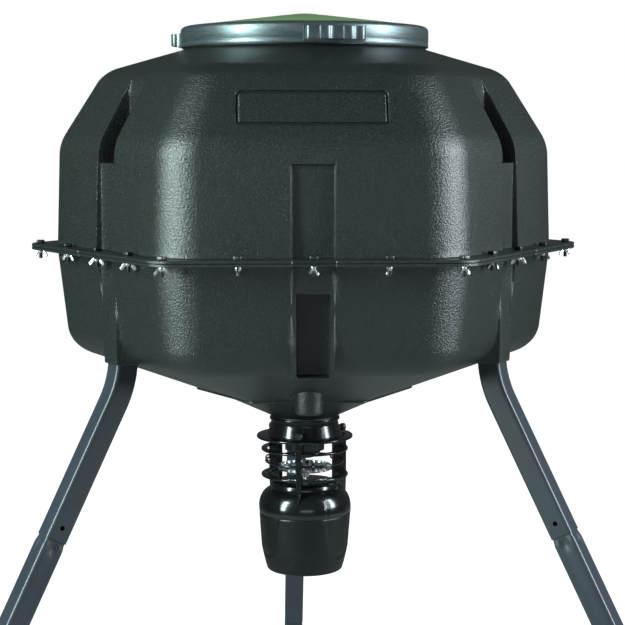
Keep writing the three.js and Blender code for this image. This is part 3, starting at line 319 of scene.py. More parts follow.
def hex_ring(station, columns, carve, grow):
    """One level ring of the shell, with each flat face carved by its own pockets."""
    apothem, corner, z = station["apothem"], station["corner"], station["z"]
    half = (apothem - corner) * math.tan(math.pi / 6)
    ring = []
    for side in range(6):
        heading = math.radians(60 * side - 90)
        squeeze = min(1, half / (max(columns[side]) + 4))
        for column in columns[side]:
            across = column * squeeze
            out = carve(side, across, z, apothem, grow)
            ring.append((
                out * math.cos(heading) - across * math.sin(heading),
                out * math.sin(heading) + across * math.cos(heading),
                z,
            ))
        centre = (apothem - corner) / math.cos(math.pi / 6)
        for step in range(CORNER_STEPS + 1):
            angle = heading + math.pi / 3 * step / CORNER_STEPS
            ring.append((
                centre * math.cos(heading + math.pi / 6) + corner * math.cos(angle),
                centre * math.sin(heading + math.pi / 6) + corner * math.sin(angle),
                z,
            ))
    return ring


def lofted(rings, looped=False):
    """Joins rings of equal length. The last meets the first if looped, or both ends are closed."""
    count = len(rings[0])
    points = [point for ring in rings for point in ring]
    faces = []
    for level in range(len(rings) if looped else len(rings) - 1):
        low, high = level * count, (level + 1) % len(rings) * count
        for i in range(count):
            j = (i + 1) % count
            faces.append((low + i, low + j, high + j, high + i))
    if not looped:
        faces.append(tuple(range(count)))
        faces.append(tuple(range(len(points) - count, len(points))))
    return points, faces


def merged(*shapes):
    points, faces = [], []
    for shape in shapes:
        start = len(points)
        points += shape[0]
        faces += [tuple(start + i for i in face) for face in shape[1]]
    return points, faces


def mesh_of(name, shape, origin):
    """A mesh in metres from a shape in millimetres about its origin, with its faces outward."""
    points, faces = shape
    mesh = bpy.data.meshes.new(name)
    mesh.from_pydata([tuple(Vector(point) * MM + origin) for point in points], [], faces)
    work = bmesh.new()
    work.from_mesh(mesh)
    bmesh.ops.remove_doubles(work, verts=work.verts, dist=2e-6)
    bmesh.ops.dissolve_degenerate(work, edges=work.edges, dist=1e-6)
    bare = [edge for edge in work.edges if not edge.link_faces]
    bmesh.ops.delete(work, geom=bare, context="EDGES")
    bmesh.ops.recalc_face_normals(work, faces=work.faces)
    if work.calc_volume(signed=True) < 0:
        bmesh.ops.reverse_faces(work, faces=work.faces)
    work.to_mesh(mesh)
    work.free()
    return mesh


def shown(name, mesh):
    thing = bpy.data.objects.new(name, mesh)
    bpy.context.scene.collection.objects.link(thing)
    return thing


def made(name, shape, finish, body, stands_for=(), bevel=0, sharp=38):
    """A finished piece, from a shape in millimetres about the hopper's axis at the floor."""
    thing = shown(name, mesh_of(name, shape, axis))
    if bevel:
        round_off = thing.modifiers.new("edges", "BEVEL")
        round_off.width = bevel * MM
        round_off.segments = 2
        round_off.limit_method = "ANGLE"
        round_off.angle_limit = math.radians(40)
        plain_mesh(thing)
    thing.data.shade_smooth()
    thing.data.set_sharp_from_angle(angle=math.radians(sharp))
    return settled(thing, finish, body, stands_for)


def plain_mesh(thing):
    """Keeps what a piece's modifiers make, and removes them."""
    graph = bpy.context.evaluated_depsgraph_get()
    mesh = bpy.data.meshes.new_from_object(thing.evaluated_get(graph))
    mesh.name = thing.name
    thing.modifiers.clear()
    thing.data = mesh


def settled(thing, finish, body, stands_for):
    thing.data.materials.clear()
    thing.data.materials.append(finish)
    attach(thing, body)
    if stands_for:
        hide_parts(*stands_for)
    return thing


def carve_upper(side, across, z, apothem, grow):
    strip = window(across, -STRIP_WIDTH / 2 - grow, STRIP_WIDTH / 2 + grow)
    strip *= window(z, JOINT_Z + FLANGE_THICK - 2 * grow, STRIP_TOP_Z + grow)
    apothem += min(0, STRIP_FLOOR - grow - apothem) * strip
    if side in LEG_SIDES:
        notch = window(across, -NOTCH_WIDTH / 2 - grow, NOTCH_WIDTH / 2 + grow)
        notch *= window(z, STRIP_TOP_Z - grow, CROWN["z"])
        apothem += min(0, NOTCH_BACK - grow - apothem) * notch
    if side == FRONT and not grow:
        run = (z - PLATE_Z) / SLOPE_SHARE
        x = abs(across) - (PLATE_WIDTH / 2 - PLATE_CORNER)
        y = abs(run) - (PLATE_HEIGHT / 2 - PLATE_CORNER)
        out = math.hypot(max(x, 0), max(y, 0)) + min(max(x, y), 0) - PLATE_CORNER
        apothem -= PLATE_DEPTH * window(out, -PLATE_GROOVE, 0, 0.8) / SLOPE_SHARE
    return apothem


slope_run = SHOULDER["apothem"] - CROWN["apothem"]
slope_rise = CROWN["z"] - SHOULDER["z"]
SLOPE_SHARE = slope_rise / math.hypot(slope_run, slope_rise)

plain_columns = both_sides([10, 20, 28, *edge(STRIP_WIDTH / 2), 42, 56, 74, 92, 108, 122])
leg_columns = both_sides([
    8, 16, 22, *edge(NOTCH_WIDTH / 2), *edge(STRIP_WIDTH / 2), 42, 56, 74, 92, 108, 122,
])
plate_edges = [105.5, 107, 108.3, 109.6, 110.8, 111.7, 112.5, 113.4, 114.3, 115.2, 116, 117]
front_columns = both_sides([10, 20, 28, *edge(STRIP_WIDTH / 2), 42, 56, 74, 92, *plate_edges, 122])
upper_columns = [front_columns if side == FRONT
                 else leg_columns if side in LEG_SIDES else plain_columns for side in range(6)]
plate_rows = [
    PLATE_Z + sign * SLOPE_SHARE * run
    for sign in (-1, 1)
    for run in (20, 21.5, 23, 24.4, 25.4, 26.2, 27, 28, 29, 29.8, 30.6)
]
upper_wall = rounded_stations([
    {"apothem": JOINT_APOTHEM, "corner": JOINT_CORNER, "z": JOINT_Z + FLANGE_THICK + 3},
    SHOULDER,
    CROWN,
    {"apothem": MOUTH_RADIUS + 6, "corner": MOUTH_RADIUS + 5, "z": MOUTH_Z - 2.3},
])
flange_side = [
    (FLANGE_APOTHEM - 20, FLANGE_CORNER + 20, GAP / 2),
    (FLANGE_APOTHEM - 0.8, FLANGE_CORNER, GAP / 2),
    (FLANGE_APOTHEM, FLANGE_CORNER, 0.9),
    (FLANGE_APOTHEM, FLANGE_CORNER, FLANGE_THICK - 0.8),
    (FLANGE_APOTHEM - 0.8, FLANGE_CORNER, FLANGE_THICK),
    (FLANGE_APOTHEM - 16, FLANGE_CORNER + 20, FLANGE_THICK),
    (JOINT_APOTHEM + 2.4, JOINT_CORNER - 4, FLANGE_THICK),
    (JOINT_APOTHEM + 0.8, JOINT_CORNER - 1, FLANGE_THICK + 0.9),
]
upper_outer = [{"apothem": a, "corner": c, "z": JOINT_Z + z} for a, c, z in flange_side]
upper_outer += with_rows(upper_wall, [
    *(JOINT_Z + rise for rise in (14, 30, 50, 72, 95, 118, 134, 152, 160)),
    *edge(STRIP_TOP_Z),
    *plate_rows,
    *(JOINT_Z + rise for rise in (208, 214, 220, 226, 232, 238, 244, 250)),
    *(JOINT_Z + rise for rise in (300, 304, 308, 312, 316, 320, 324)),
])
upper_outer += [
    {"apothem": r, "corner": r - 0.3, "z": z}
    for r, z in (
        (MOUTH_RADIUS + 2, MOUTH_Z - 0.5),
        (MOUTH_RADIUS, MOUTH_Z + 1.5),
        (MOUTH_RADIUS, MOUTH_TOP_Z - 1.2),
        (MOUTH_RADIUS - 1.2, MOUTH_TOP_Z),
    )
]
upper_inner = moved_in(
    [{"apothem": JOINT_APOTHEM, "corner": JOINT_CORNER, "z": JOINT_Z + GAP / 2}]
    + with_rows(upper_wall, [
        JOINT_Z + 40, JOINT_Z + 90, *edge(STRIP_TOP_Z - WALL), *edge(STRIP_TOP_Z + WALL),
        JOINT_Z + 220, JOINT_Z + 250, JOINT_Z + 306, JOINT_Z + 318,
    ])
    + [{"apothem": MOUTH_RADIUS, "corner": MOUTH_RADIUS - 0.3, "z": z, "wall": MOUTH_WALL}
       for z in (MOUTH_Z + 2, MOUTH_TOP_Z)],
    WALL,
)
upper_shape = lofted(
    [hex_ring(s, upper_columns, carve_upper, 0) for s in upper_outer]
    + [hex_ring(s, upper_columns, carve_upper, WALL) for s in reversed(upper_inner)],
    looped=True,
)

# Textured HDPE, rotationally moulded: a waxy dark green-black with a fine pebble grain that
# breaks highlights into soft speckle. Its colour is painted paler on the raised tops of the grain,
# a painted highlight that adds to that speckle. The grain is drawn a little coarser than the real
# one, so that it shows at this distance.
PEBBLE = 3
hopper_plastic, tree, shader = material(
    "moulded_textured_hdpe", "#181d1c", Roughness=0.34, IOR=1.54,
)
where = add(tree, "ShaderNodeTexCoord")
pebble = add(tree, "ShaderNodeTexNoise", inputs={
    "Vector": where.outputs["Object"], "Scale": 1 / (PEBBLE * MM), "Detail": 3, "Roughness": 0.6,
})
cloud = add(tree, "ShaderNodeTexNoise", inputs={
    "Vector": where.outputs["Object"], "Scale": 1 / (180 * MM), "Detail": 2,
})
# Painted highlight: the colour turns paler where the grain rises, following the bump's height.
tint = add(tree, "ShaderNodeValToRGB", inputs={"Fac": pebble.outputs["Fac"]})
tint.color_ramp.elements[0].position = 0.35
tint.color_ramp.elements[0].color = linear("#121615")
tint.color_ramp.elements[1].position = 0.72
tint.color_ramp.elements[1].color = linear("#202625")
drift = add(tree, "ShaderNodeMix", {"data_type": "RGBA", "blend_type": "MULTIPLY"}, {
    "Factor": 0.25, "A": tint.outputs["Color"], "B": cloud.outputs["Color"],
})
rough = add(tree, "ShaderNodeMapRange", inputs={
    "Value": pebble.outputs["Fac"], "To Min": 0.26, "To Max": 0.42,
})
relief = add(tree, "ShaderNodeBump", inputs={
    "Height": pebble.outputs["Fac"], "Strength": 1.0, "Distance": 1.2 * MM,
})
tree.links.new(drift.outputs["Result"], shader.inputs["Base Color"])
tree.links.new(rough.outputs["Result"], shader.inputs["Roughness"])
tree.links.new(relief.outputs["Normal"], shader.inputs["Normal"])
made("hopper_upper_shell", upper_shape, hopper_plastic, "stand",
     ["hopper_upper"])

# ---------------------------------------------------------------- lower hopper shell
# The bottom half is moulded in the same HDPE. Its walls turn in at a round heel to a hexagonal
# funnel whose rim has a small lip, then to a plain cone and the outlet. Columns on the leg faces
# are sockets for the legs, and those on the plain faces have an open pocket.
HEEL = {"apothem": 358, "corner": 80, "z": JOINT_Z - 167.9, "round": 54}
RIM_Z = JOINT_Z - 244.2
RIM_APOTHEM = 160
RIM_CORNER = 14
RIM_LIP = 3.5
CONE_RADIUS = 155
SPOUT_RADIUS = 54
SPOUT_TOP_Z = JOINT_Z - 293.7
SPOUT_END_Z = SPOUT_TOP_Z - 30
COLUMN_FACE = 368
COLUMN_END_Z = JOINT_Z - 178.9
SOCKET_WIDTH = 48
SOCKET_RECESS = 54
OPEN_WIDTH = 49
OPEN_BACK = COLUMN_FACE - 25
OPEN_TOP_Z = JOINT_Z - 49.7
OPEN_END_Z = COLUMN_END_Z + 4
BOSS_RADIUS = 22
BOSS_FROM_AXIS = 206
BOSS_END_Z = JOINT_Z - 258
BOSS_HEIGHT = 94


def softened(outline, radius, steps=4):
    """Rounds the corners of a closed outline, apart from those on the axis of a turned piece."""
    out = []
    for i, corner in enumerate(outline):
        here = Vector(corner)
        back = Vector(outline[i - 1]) - here
        ahead = Vector(outline[(i + 1) % len(outline)]) - here
        if here.x == 0 or back.angle(ahead) > math.radians(172):
            out.append(tuple(here))
            continue
        start = here + back.normalized() * min(radius, 0.48 * back.length)
        end = here + ahead.normalized() * min(radius, 0.48 * ahead.length)
        for step in range(steps + 1):
            share = step / steps
            out.append(tuple(start.lerp(here, share).lerp(here.lerp(end, share), share)))
    return out


def turned(outline, sides=96):
    """Turns a closed outline of radius and height about the hopper's axis."""
    rings = []
    for step in range(sides):
        angle = 2 * math.pi * step / sides
        rings.append([(r * math.cos(angle), r * math.sin(angle), z) for r, z in outline])
    return lofted(rings, looped=True)


def placed(shape, matrix):
    return [tuple(matrix @ Vector(point)) for point in shape[0]], shape[1]


def heading(degrees, out=0, up=0):
    """The place at this heading about the axis, so far out and up, facing outward."""
    return Matrix.Rotation(math.radians(degrees), 4, "Z") @ Matrix.Translation((out, 0, up))


def carve_lower(side, across, z, apothem, grow):
    if grow:
        back = COLUMN_FACE - 48 if side in LEG_SIDES else OPEN_BACK - grow
        half = SOCKET_WIDTH / 2 if side in LEG_SIDES else STRIP_WIDTH / 2
        share = window(across, -half, half) * window(z, COLUMN_END_Z, JOINT_Z + 30)
        return apothem + min(0, back - apothem) * share
    recess = SOCKET_RECESS if side in LEG_SIDES else STRIP_WIDTH
    share = window(across, -recess / 2, recess / 2)
    share *= window(z, COLUMN_END_Z - 10, JOINT_Z - FLANGE_THICK)
    apothem += min(0, COLUMN_FACE - apothem) * share
    width = SOCKET_WIDTH if side in LEG_SIDES else STRIP_WIDTH
    share = window(across, -width / 2, width / 2)
    share *= window(z, COLUMN_END_Z, JOINT_Z - FLANGE_THICK + 4)
    apothem += max(0, COLUMN_FACE - apothem) * share
    if side not in LEG_SIDES:
        pocket = window(across, -OPEN_WIDTH / 2, OPEN_WIDTH / 2)
        pocket *= window(z, OPEN_END_Z, OPEN_TOP_Z)
        apothem += min(0, OPEN_BACK - apothem) * pocket
    return apothem


socket_columns = both_sides([
    8, 16, *edge(SOCKET_WIDTH / 2, 0.9), *edge(SOCKET_RECESS / 2, 0.9), 34, 42, 60, 80, 100, 122,
])
pocket_columns = both_sides([
    8, 16, *edge(OPEN_WIDTH / 2), *edge(STRIP_WIDTH / 2), 42, 60, 80, 100, 122,
])
lower_columns = [socket_columns if side in LEG_SIDES else pocket_columns for side in range(6)]
lower_flange = [{"apothem": a, "corner": c, "z": JOINT_Z - z} for a, c, z in flange_side]
lower_wall = rounded_stations([
    {"apothem": JOINT_APOTHEM, "corner": JOINT_CORNER, "z": JOINT_Z - FLANGE_THICK - 3},
    HEEL,
    {"apothem": RIM_APOTHEM + 3, "corner": RIM_CORNER, "z": RIM_Z},
], 14)
lower_outer = lower_flange + with_rows(lower_wall, [
    *(JOINT_Z - drop for drop in (20, 34, 64, 80, 96, 110, 122)),
    *edge(OPEN_TOP_Z), *edge(OPEN_END_Z), *edge(COLUMN_END_Z), *edge(COLUMN_END_Z - 10),
    *(JOINT_Z - drop for drop in (200, 210, 220, 230, 238)),
])
lower_outer += [
    {"apothem": a, "corner": c, "z": RIM_Z - z}
    for a, c, z in (
        (RIM_APOTHEM + 3, RIM_CORNER, RIM_LIP - 0.8),
        (RIM_APOTHEM + 2.2, RIM_CORNER, RIM_LIP),
        (CONE_RADIUS + 3, 40, RIM_LIP),
        (CONE_RADIUS - 4, CONE_RADIUS - 5, RIM_LIP + 1.2),
    )
]
for share in (0.2, 0.4, 0.6, 0.8, 0.95, 1):
    radius = CONE_RADIUS - 4 + (SPOUT_RADIUS - CONE_RADIUS + 4) * share
    lower_outer.append({
        "apothem": radius,
        "corner": radius - 0.3,
        "z": RIM_Z - RIM_LIP - 1.2 + (SPOUT_TOP_Z - RIM_Z + RIM_LIP + 1.2) * share,
    })
lower_outer.append({"apothem": SPOUT_RADIUS, "corner": SPOUT_RADIUS - 0.3, "z": SPOUT_END_Z})
inner_stations = [
    {"apothem": JOINT_APOTHEM, "corner": JOINT_CORNER, "z": JOINT_Z - GAP / 2},
    *with_rows(lower_wall, [
        JOINT_Z - 60, JOINT_Z - 100, *edge(COLUMN_END_Z), JOINT_Z - 200, JOINT_Z - 220,
    ])[:-1],
    {"apothem": CONE_RADIUS + 12, "corner": 60, "z": RIM_Z + 5},
    {"apothem": CONE_RADIUS, "corner": CONE_RADIUS - 1, "z": RIM_Z - 1},
    {"apothem": SPOUT_RADIUS + 1, "corner": SPOUT_RADIUS, "z": SPOUT_TOP_Z + 1},
    {"apothem": SPOUT_RADIUS, "corner": SPOUT_RADIUS - 0.3, "z": SPOUT_END_Z},
]
lower_inner = [
    {**row, "apothem": row["apothem"] - WALL, "corner": max(row["corner"] - WALL, 1)}
    for row in inner_stations
]
lower_shape = lofted(
    [hex_ring(s, lower_columns, carve_lower, 0) for s in lower_outer]
    + [hex_ring(s, lower_columns, carve_lower, WALL) for s in reversed(lower_inner)],
    looped=True,
)
boss = turned(softened([
    (0, BOSS_END_Z),
    (BOSS_RADIUS, BOSS_END_Z),
    (BOSS_RADIUS + 1.5, BOSS_END_Z + BOSS_HEIGHT * 0.5),
    (0, BOSS_END_Z + BOSS_HEIGHT * 0.5),
], 5, 6), 40)
made("hopper_lower_shell", merged(lower_shape, placed(boss, heading(-90, BOSS_FROM_AXIS))),
     hopper_plastic, "stand", ["hopper_lower"])

# ---------------------------------------------------------------- flange bolts and wing nuts
# Twenty-four carriage bolts clamp the shells at the flange, one at each corner and three along
# each side. Their heads are capped in black nylon, and under the flange each has a bright zinc
# wing nut that was left at whatever angle it came tight.
BOLT_APOTHEM = 389
BOLTS_PER_SIDE = 4
BOLT_HEAD = 13
BOLT_HEAD_THICK = 5
BOLT_END = 26
NUT_RADIUS = 5.5
NUT_HEIGHT = 6
WING_SPAN = 26
WING_HEIGHT = 13
WING_THICK = 2.6
NUT_SEED = 4


def raised(outline, low, high):
    """Raises a closed outline of points in the XY plane from one height to another."""
    return lofted([[(x, y, z) for x, y in outline] for z in (low, high)])


def source_mesh(name, shape, bevel):
    """A loose object about its own origin for a node tree to repeat."""
    thing = shown(name, mesh_of(name, shape, Vector()))
    round_off = thing.modifiers.new("edges", "BEVEL")
    round_off.width = bevel * MM
    round_off.segments = 2
    round_off.limit_method = "ANGLE"
    plain_mesh(thing)
    thing.data.shade_smooth()
    thing.data.set_sharp_from_angle(angle=math.radians(40))
    return thing


def ring_tree():
    """Repeats one object round a hexagon, evenly along its sides, with a turn of its own each."""
    tree = bpy.data.node_groups.new("hexagon_of_fasteners", "GeometryNodeTree")
    sockets = {}
    for label, kind, value in (
        ("Fastener", "NodeSocketObject", None),
        ("Apothem", "NodeSocketFloat", 0.389),
        ("Per Side", "NodeSocketInt", 4),
        ("Place", "NodeSocketVector", (0, 0, 0)),
        ("Turn Spread", "NodeSocketFloat", 0.0),
        ("Seed", "NodeSocketInt", 0),
        ("Finish", "NodeSocketMaterial", None),
    ):
        socket = tree.interface.new_socket(label, in_out="INPUT", socket_type=kind)
        if value is not None:
            socket.default_value = value
        sockets[label] = socket.identifier
    tree.interface.new_socket("Geometry", in_out="OUTPUT", socket_type="NodeSocketGeometry")
    given = add(tree, "NodeGroupInput")
    radius = add(tree, "ShaderNodeMath", {"operation": "MULTIPLY"}, {
        0: given.outputs["Apothem"], 1: 1 / math.cos(math.pi / 6),
    })
    count = add(tree, "ShaderNodeMath", {"operation": "MULTIPLY"}, {
        0: given.outputs["Per Side"], 1: 6.0,
    })
    hexagon = add(tree, "GeometryNodeMeshCircle", inputs={
        "Vertices": 6, "Radius": radius.outputs[0],
    })
    line = add(tree, "GeometryNodeMeshToCurve", inputs={"Mesh": hexagon.outputs["Mesh"]})
    evenly = add(tree, "GeometryNodeResampleCurve", inputs={
        "Curve": line.outputs["Curve"], "Count": count.outputs[0],
    })
    at = add(tree, "GeometryNodeInputPosition")
    apart = add(tree, "ShaderNodeSeparateXYZ", inputs={0: at.outputs[0]})
    bearing = add(tree, "ShaderNodeMath", {"operation": "ARCTAN2"}, {
        0: apart.outputs["Y"], 1: apart.outputs["X"],
    })
    chance = add(tree, "FunctionNodeRandomValue", {"data_type": "FLOAT"}, {
        "Min": -1.0, "Max": 1.0, "Seed": given.outputs["Seed"],
    })
    own = add(tree, "ShaderNodeMath", {"operation": "MULTIPLY_ADD"}, {
        0: chance.outputs[1], 1: given.outputs["Turn Spread"], 2: bearing.outputs[0],
    })
    turn = add(tree, "ShaderNodeCombineXYZ", inputs={"Z": own.outputs[0]})
    source = add(tree, "GeometryNodeObjectInfo", inputs={"Object": given.outputs["Fastener"]})
    each = add(tree, "GeometryNodeInstanceOnPoints", inputs={
        "Points": evenly.outputs["Curve"],
        "Instance": source.outputs["Geometry"],
        "Rotation": turn.outputs[0],
    })
    moved = add(tree, "GeometryNodeTransform", inputs={
        "Geometry": each.outputs["Instances"], "Translation": given.outputs["Place"],
    })
    real = add(tree, "GeometryNodeRealizeInstances", inputs={"Geometry": moved.outputs["Geometry"]})
    finished = add(tree, "GeometryNodeSetMaterial", inputs={
        "Geometry": real.outputs["Geometry"], "Material": given.outputs["Finish"],
    })
    add(tree, "NodeGroupOutput", inputs={"Geometry": finished.outputs["Geometry"]})
    return tree, sockets


def grown(name, tree, sockets, values, finish, body, stands_for=()):
    """Makes a piece from a node tree, and keeps it as a plain mesh."""
    thing = shown(name, bpy.data.meshes.new(name))
    nodes = thing.modifiers.new("maker", "NODES")
    nodes.node_group = tree
    for label, value in {**values, "Finish": finish}.items():
        nodes[sockets[label]] = value
    thing.update_tag()
    plain_mesh(thing)
    thing.data.set_sharp_from_angle(angle=math.radians(40))
    return settled(thing, finish, body, stands_for)


# Glass-filled nylon, injection moulded: near black and slightly sheened, with a fine spark
# texture from the mould.
black_nylon, tree, shader = material("moulded_black_nylon", "#101214", Roughness=0.4, IOR=1.53)
where = add(tree, "ShaderNodeTexCoord")
spark = add(tree, "ShaderNodeTexNoise", inputs={
    "Vector": where.outputs["Object"], "Scale": 1 / (0.8 * MM), "Detail": 2,
})
rough = add(tree, "ShaderNodeMapRange", inputs={
    "Value": spark.outputs["Fac"], "To Min": 0.32, "To Max": 0.5,
})
relief = add(tree, "ShaderNodeBump", inputs={
    "Height": spark.outputs["Fac"], "Strength": 0.25, "Distance": 0.08 * MM,
})
tree.links.new(rough.outputs["Result"], shader.inputs["Roughness"])
tree.links.new(relief.outputs["Normal"], shader.inputs["Normal"])

# Bright zinc plate on cast steel: pale and metallic, with a faint cast unevenness and patches
# that are duller and slightly warmer.
zinc, tree, shader = material("bright_zinc_plate", "#cdd1d3", Roughness=0.28, Metallic=1.0)
where = add(tree, "ShaderNodeTexCoord")
cast = add(tree, "ShaderNodeTexNoise", inputs={
    "Vector": where.outputs["Object"], "Scale": 1 / (3 * MM), "Detail": 3,
})
patch = add(tree, "ShaderNodeMix", {"data_type": "RGBA"}, {
    "Factor": cast.outputs["Fac"], "A": linear("#b9bdbf"), "B": linear("#e2e2dc"),
})
rough = add(tree, "ShaderNodeMapRange", inputs={
    "Value": cast.outputs["Fac"], "To Min": 0.2, "To Max": 0.42,
})
relief = add(tree, "ShaderNodeBump", inputs={
    "Height": cast.outputs["Fac"], "Strength": 0.3, "Distance": 0.15 * MM,
})
tree.links.new(patch.outputs["Result"], shader.inputs["Base Color"])
tree.links.new(rough.outputs["Result"], shader.inputs["Roughness"])
tree.links.new(relief.outputs["Normal"], shader.inputs["Normal"])

square = [(x * BOLT_HEAD / 2, y * BOLT_HEAD / 2) for x, y in ((-1, -1), (1, -1), (1, 1), (-1, 1))]
head = raised(softened(square, 3, 3), 0, BOLT_HEAD_THICK)
shank = turned([(0, -BOLT_END), (3, -BOLT_END), (3, 1), (0, 1)], 12)
bolt_source = source_mesh("bolt_source", merged(head, shank), 1)

wing_side = [
    (3, 0),
    (NUT_RADIUS + 1.5, -1),
    (WING_SPAN / 2 - 0.6, -WING_HEIGHT + 4.5),
    (WING_SPAN / 2, -WING_HEIGHT + 1.2),
    (WING_SPAN / 2 - 3, -WING_HEIGHT),
    (WING_SPAN / 2 - 6, -WING_HEIGHT + 3),
    (NUT_RADIUS - 1, -NUT_HEIGHT),
    (3, -NUT_HEIGHT),
]
upright = Matrix.Rotation(math.pi / 2, 4, "X")
wing = placed(raised(softened(wing_side, 2, 2), -WING_THICK / 2, WING_THICK / 2), upright)
other_wing = placed(wing, Matrix.Rotation(math.pi, 4, "Z"))
nut_body = turned([
    (3.4, -NUT_HEIGHT), (NUT_RADIUS - 0.8, -NUT_HEIGHT), (NUT_RADIUS, 0), (3.4, 0),
], 16)
nut_source = source_mesh("nut_source", merged(nut_body, wing, other_wing), 0.5)

fastener_tree, fastener_sockets = ring_tree()
grown("flange_bolts", fastener_tree, fastener_sockets, {
    "Fastener": bolt_source,
    "Apothem": BOLT_APOTHEM * MM,
    "Per Side": BOLTS_PER_SIDE,
    "Place": (axis.x, axis.y, (JOINT_Z + FLANGE_THICK + GAP) * MM),
}, black_nylon, "stand", [f"corner_bolt_{i + 1}" for i in range(6)])
grown("flange_wing_nuts", fastener_tree, fastener_sockets, {
    "Fastener": nut_source,
    "Apothem": BOLT_APOTHEM * MM,
    "Per Side": BOLTS_PER_SIDE,
    "Place": (axis.x, axis.y, (JOINT_Z - FLANGE_THICK - GAP) * MM),
    "Turn Spread": 1.2,
    "Seed": NUT_SEED,
}, zinc, "stand", [f"corner_wing_nut_{i + 1}" for i in range(6)])
for source in (bolt_source, nut_source):
    bpy.data.objects.remove(source)

# ---------------------------------------------------------------- lid, band and seal
# The lid is a shallow moss green cone moulded in HDPE. A rolled steel band with a turned-in top
# clamps its edge down on a foam seal round the mouth.
GASKET_THICK = 5.7
BAND_RADIUS = 208.8
BAND_WALL = 3.5
BAND_Z = MOUTH_Z + 2.6
BAND_TOP_Z = BAND_Z + 34.4
BAND_ROUND = 8
BAND_MOUTH = BAND_RADIUS - 9.8
LID_RISE = 24
band_inner = BAND_RADIUS - BAND_WALL
lid_edge = band_inner - 2 * GAP
lid_rim = BAND_MOUTH - 2 * GAP
lid_flange_z = MOUTH_TOP_Z + GASKET_THICK + 2 * GAP
lid_flange_top = BAND_TOP_Z - BAND_WALL - GAP

# Moss green HDPE with a finer grain than the hopper's, slightly uneven in tone across the lid.
lid_plastic, tree, shader = material("moulded_moss_green_hdpe", "#6c8a5a", Roughness=0.5, IOR=1.54)
where = add(tree, "ShaderNodeTexCoord")
grain = add(tree, "ShaderNodeTexNoise", inputs={
    "Vector": where.outputs["Object"], "Scale": 1 / (1.8 * MM), "Detail": 2,
})
dust = add(tree, "ShaderNodeTexNoise", inputs={
    "Vector": where.outputs["Object"], "Scale": 1 / (60 * MM), "Detail": 4,
})
green = add(tree, "ShaderNodeMix", {"data_type": "RGBA"}, {
    "Factor": dust.outputs["Fac"], "A": linear("#627f50"), "B": linear("#7c9a68"),
})
relief = add(tree, "ShaderNodeBump", inputs={
    "Height": grain.outputs["Fac"], "Strength": 0.4, "Distance": 0.2 * MM,
})
tree.links.new(green.outputs["Result"], shader.inputs["Base Color"])
tree.links.new(relief.outputs["Normal"], shader.inputs["Normal"])

# Rolled steel strip in a satin grey-green metallic lacquer: soft broad reflections, a fine
# metallic fleck, and faint streaks along its rolled length.
band_steel, tree, shader = material(
    "lacquered_rolled_steel", "#5f686a", Roughness=0.38, Metallic=0.85,
)
where = add(tree, "ShaderNodeTexCoord")
fleck = add(tree, "ShaderNodeTexNoise", inputs={
    "Vector": where.outputs["Object"], "Scale": 1 / (1.4 * MM), "Detail": 3,
})
drawn = add(tree, "ShaderNodeMapping", inputs={
    "Vector": where.outputs["Object"], "Scale": (1, 1, 14),
})
streak = add(tree, "ShaderNodeTexNoise", inputs={
    "Vector": drawn.outputs["Vector"], "Scale": 1 / (30 * MM), "Detail": 3,
})
tone = add(tree, "ShaderNodeMath", {"operation": "MULTIPLY"}, {
    0: fleck.outputs["Fac"], 1: streak.outputs["Fac"],
})
lacquer = add(tree, "ShaderNodeMapRange", inputs={
    "Value": tone.outputs[0], "From Min": 0.12, "From Max": 0.4,
})
grey = add(tree, "ShaderNodeMix", {"data_type": "RGBA"}, {
    "Factor": lacquer.outputs["Result"], "A": linear("#4a5355"), "B": linear("#6d777a"),
})
rough = add(tree, "ShaderNodeMapRange", inputs={
    "Value": fleck.outputs["Fac"], "To Min": 0.3, "To Max": 0.5,
})
relief = add(tree, "ShaderNodeBump", inputs={
    "Height": fleck.outputs["Fac"], "Strength": 0.2, "Distance": 0.1 * MM,
})
tree.links.new(grey.outputs["Result"], shader.inputs["Base Color"])
tree.links.new(rough.outputs["Result"], shader.inputs["Roughness"])
tree.links.new(relief.outputs["Normal"], shader.inputs["Normal"])

# Closed-cell neoprene foam: matt black, with fine open pores on its cut faces.
seal_rubber, tree, shader = material("cut_neoprene_foam", "#17181a", Roughness=0.9, IOR=1.5)
where = add(tree, "ShaderNodeTexCoord")
pores = add(tree, "ShaderNodeTexVoronoi", inputs={
    "Vector": where.outputs["Object"], "Scale": 1 / (0.9 * MM),
})
shade = add(tree, "ShaderNodeMix", {"data_type": "RGBA"}, {
    "Factor": pores.outputs["Distance"], "A": linear("#0d0e0f"), "B": linear("#232527"),
})
relief = add(tree, "ShaderNodeBump", inputs={
    "Height": pores.outputs["Distance"], "Strength": 0.5, "Distance": 0.2 * MM,
})
tree.links.new(shade.outputs["Result"], shader.inputs["Base Color"])
tree.links.new(relief.outputs["Normal"], shader.inputs["Normal"])

lid_side = softened([
    (lid_rim * 0.2, BAND_TOP_Z + LID_RISE * 0.84),
    (lid_rim, BAND_TOP_Z),
    (lid_rim, lid_flange_top - 4),
    (lid_edge, lid_flange_top - 4),
    (lid_edge, lid_flange_z),
    (MOUTH_RADIUS - MOUTH_WALL, lid_flange_z),
    (lid_rim - 3.5, BAND_TOP_Z - 3.5),
    (lid_rim * 0.2, BAND_TOP_Z + LID_RISE * 0.84 - 3.5),
], 1.2, 3)
lid_shape = turned([
    (0, BAND_TOP_Z + LID_RISE - 0.3),
    (lid_rim * 0.06, BAND_TOP_Z + LID_RISE * 0.975),
    (lid_rim * 0.12, BAND_TOP_Z + LID_RISE * 0.92),
    *lid_side,
    (0, BAND_TOP_Z + LID_RISE - 3.5),
], 128)
made("lid_cone", lid_shape, lid_plastic, "lid", ["lid_top"])

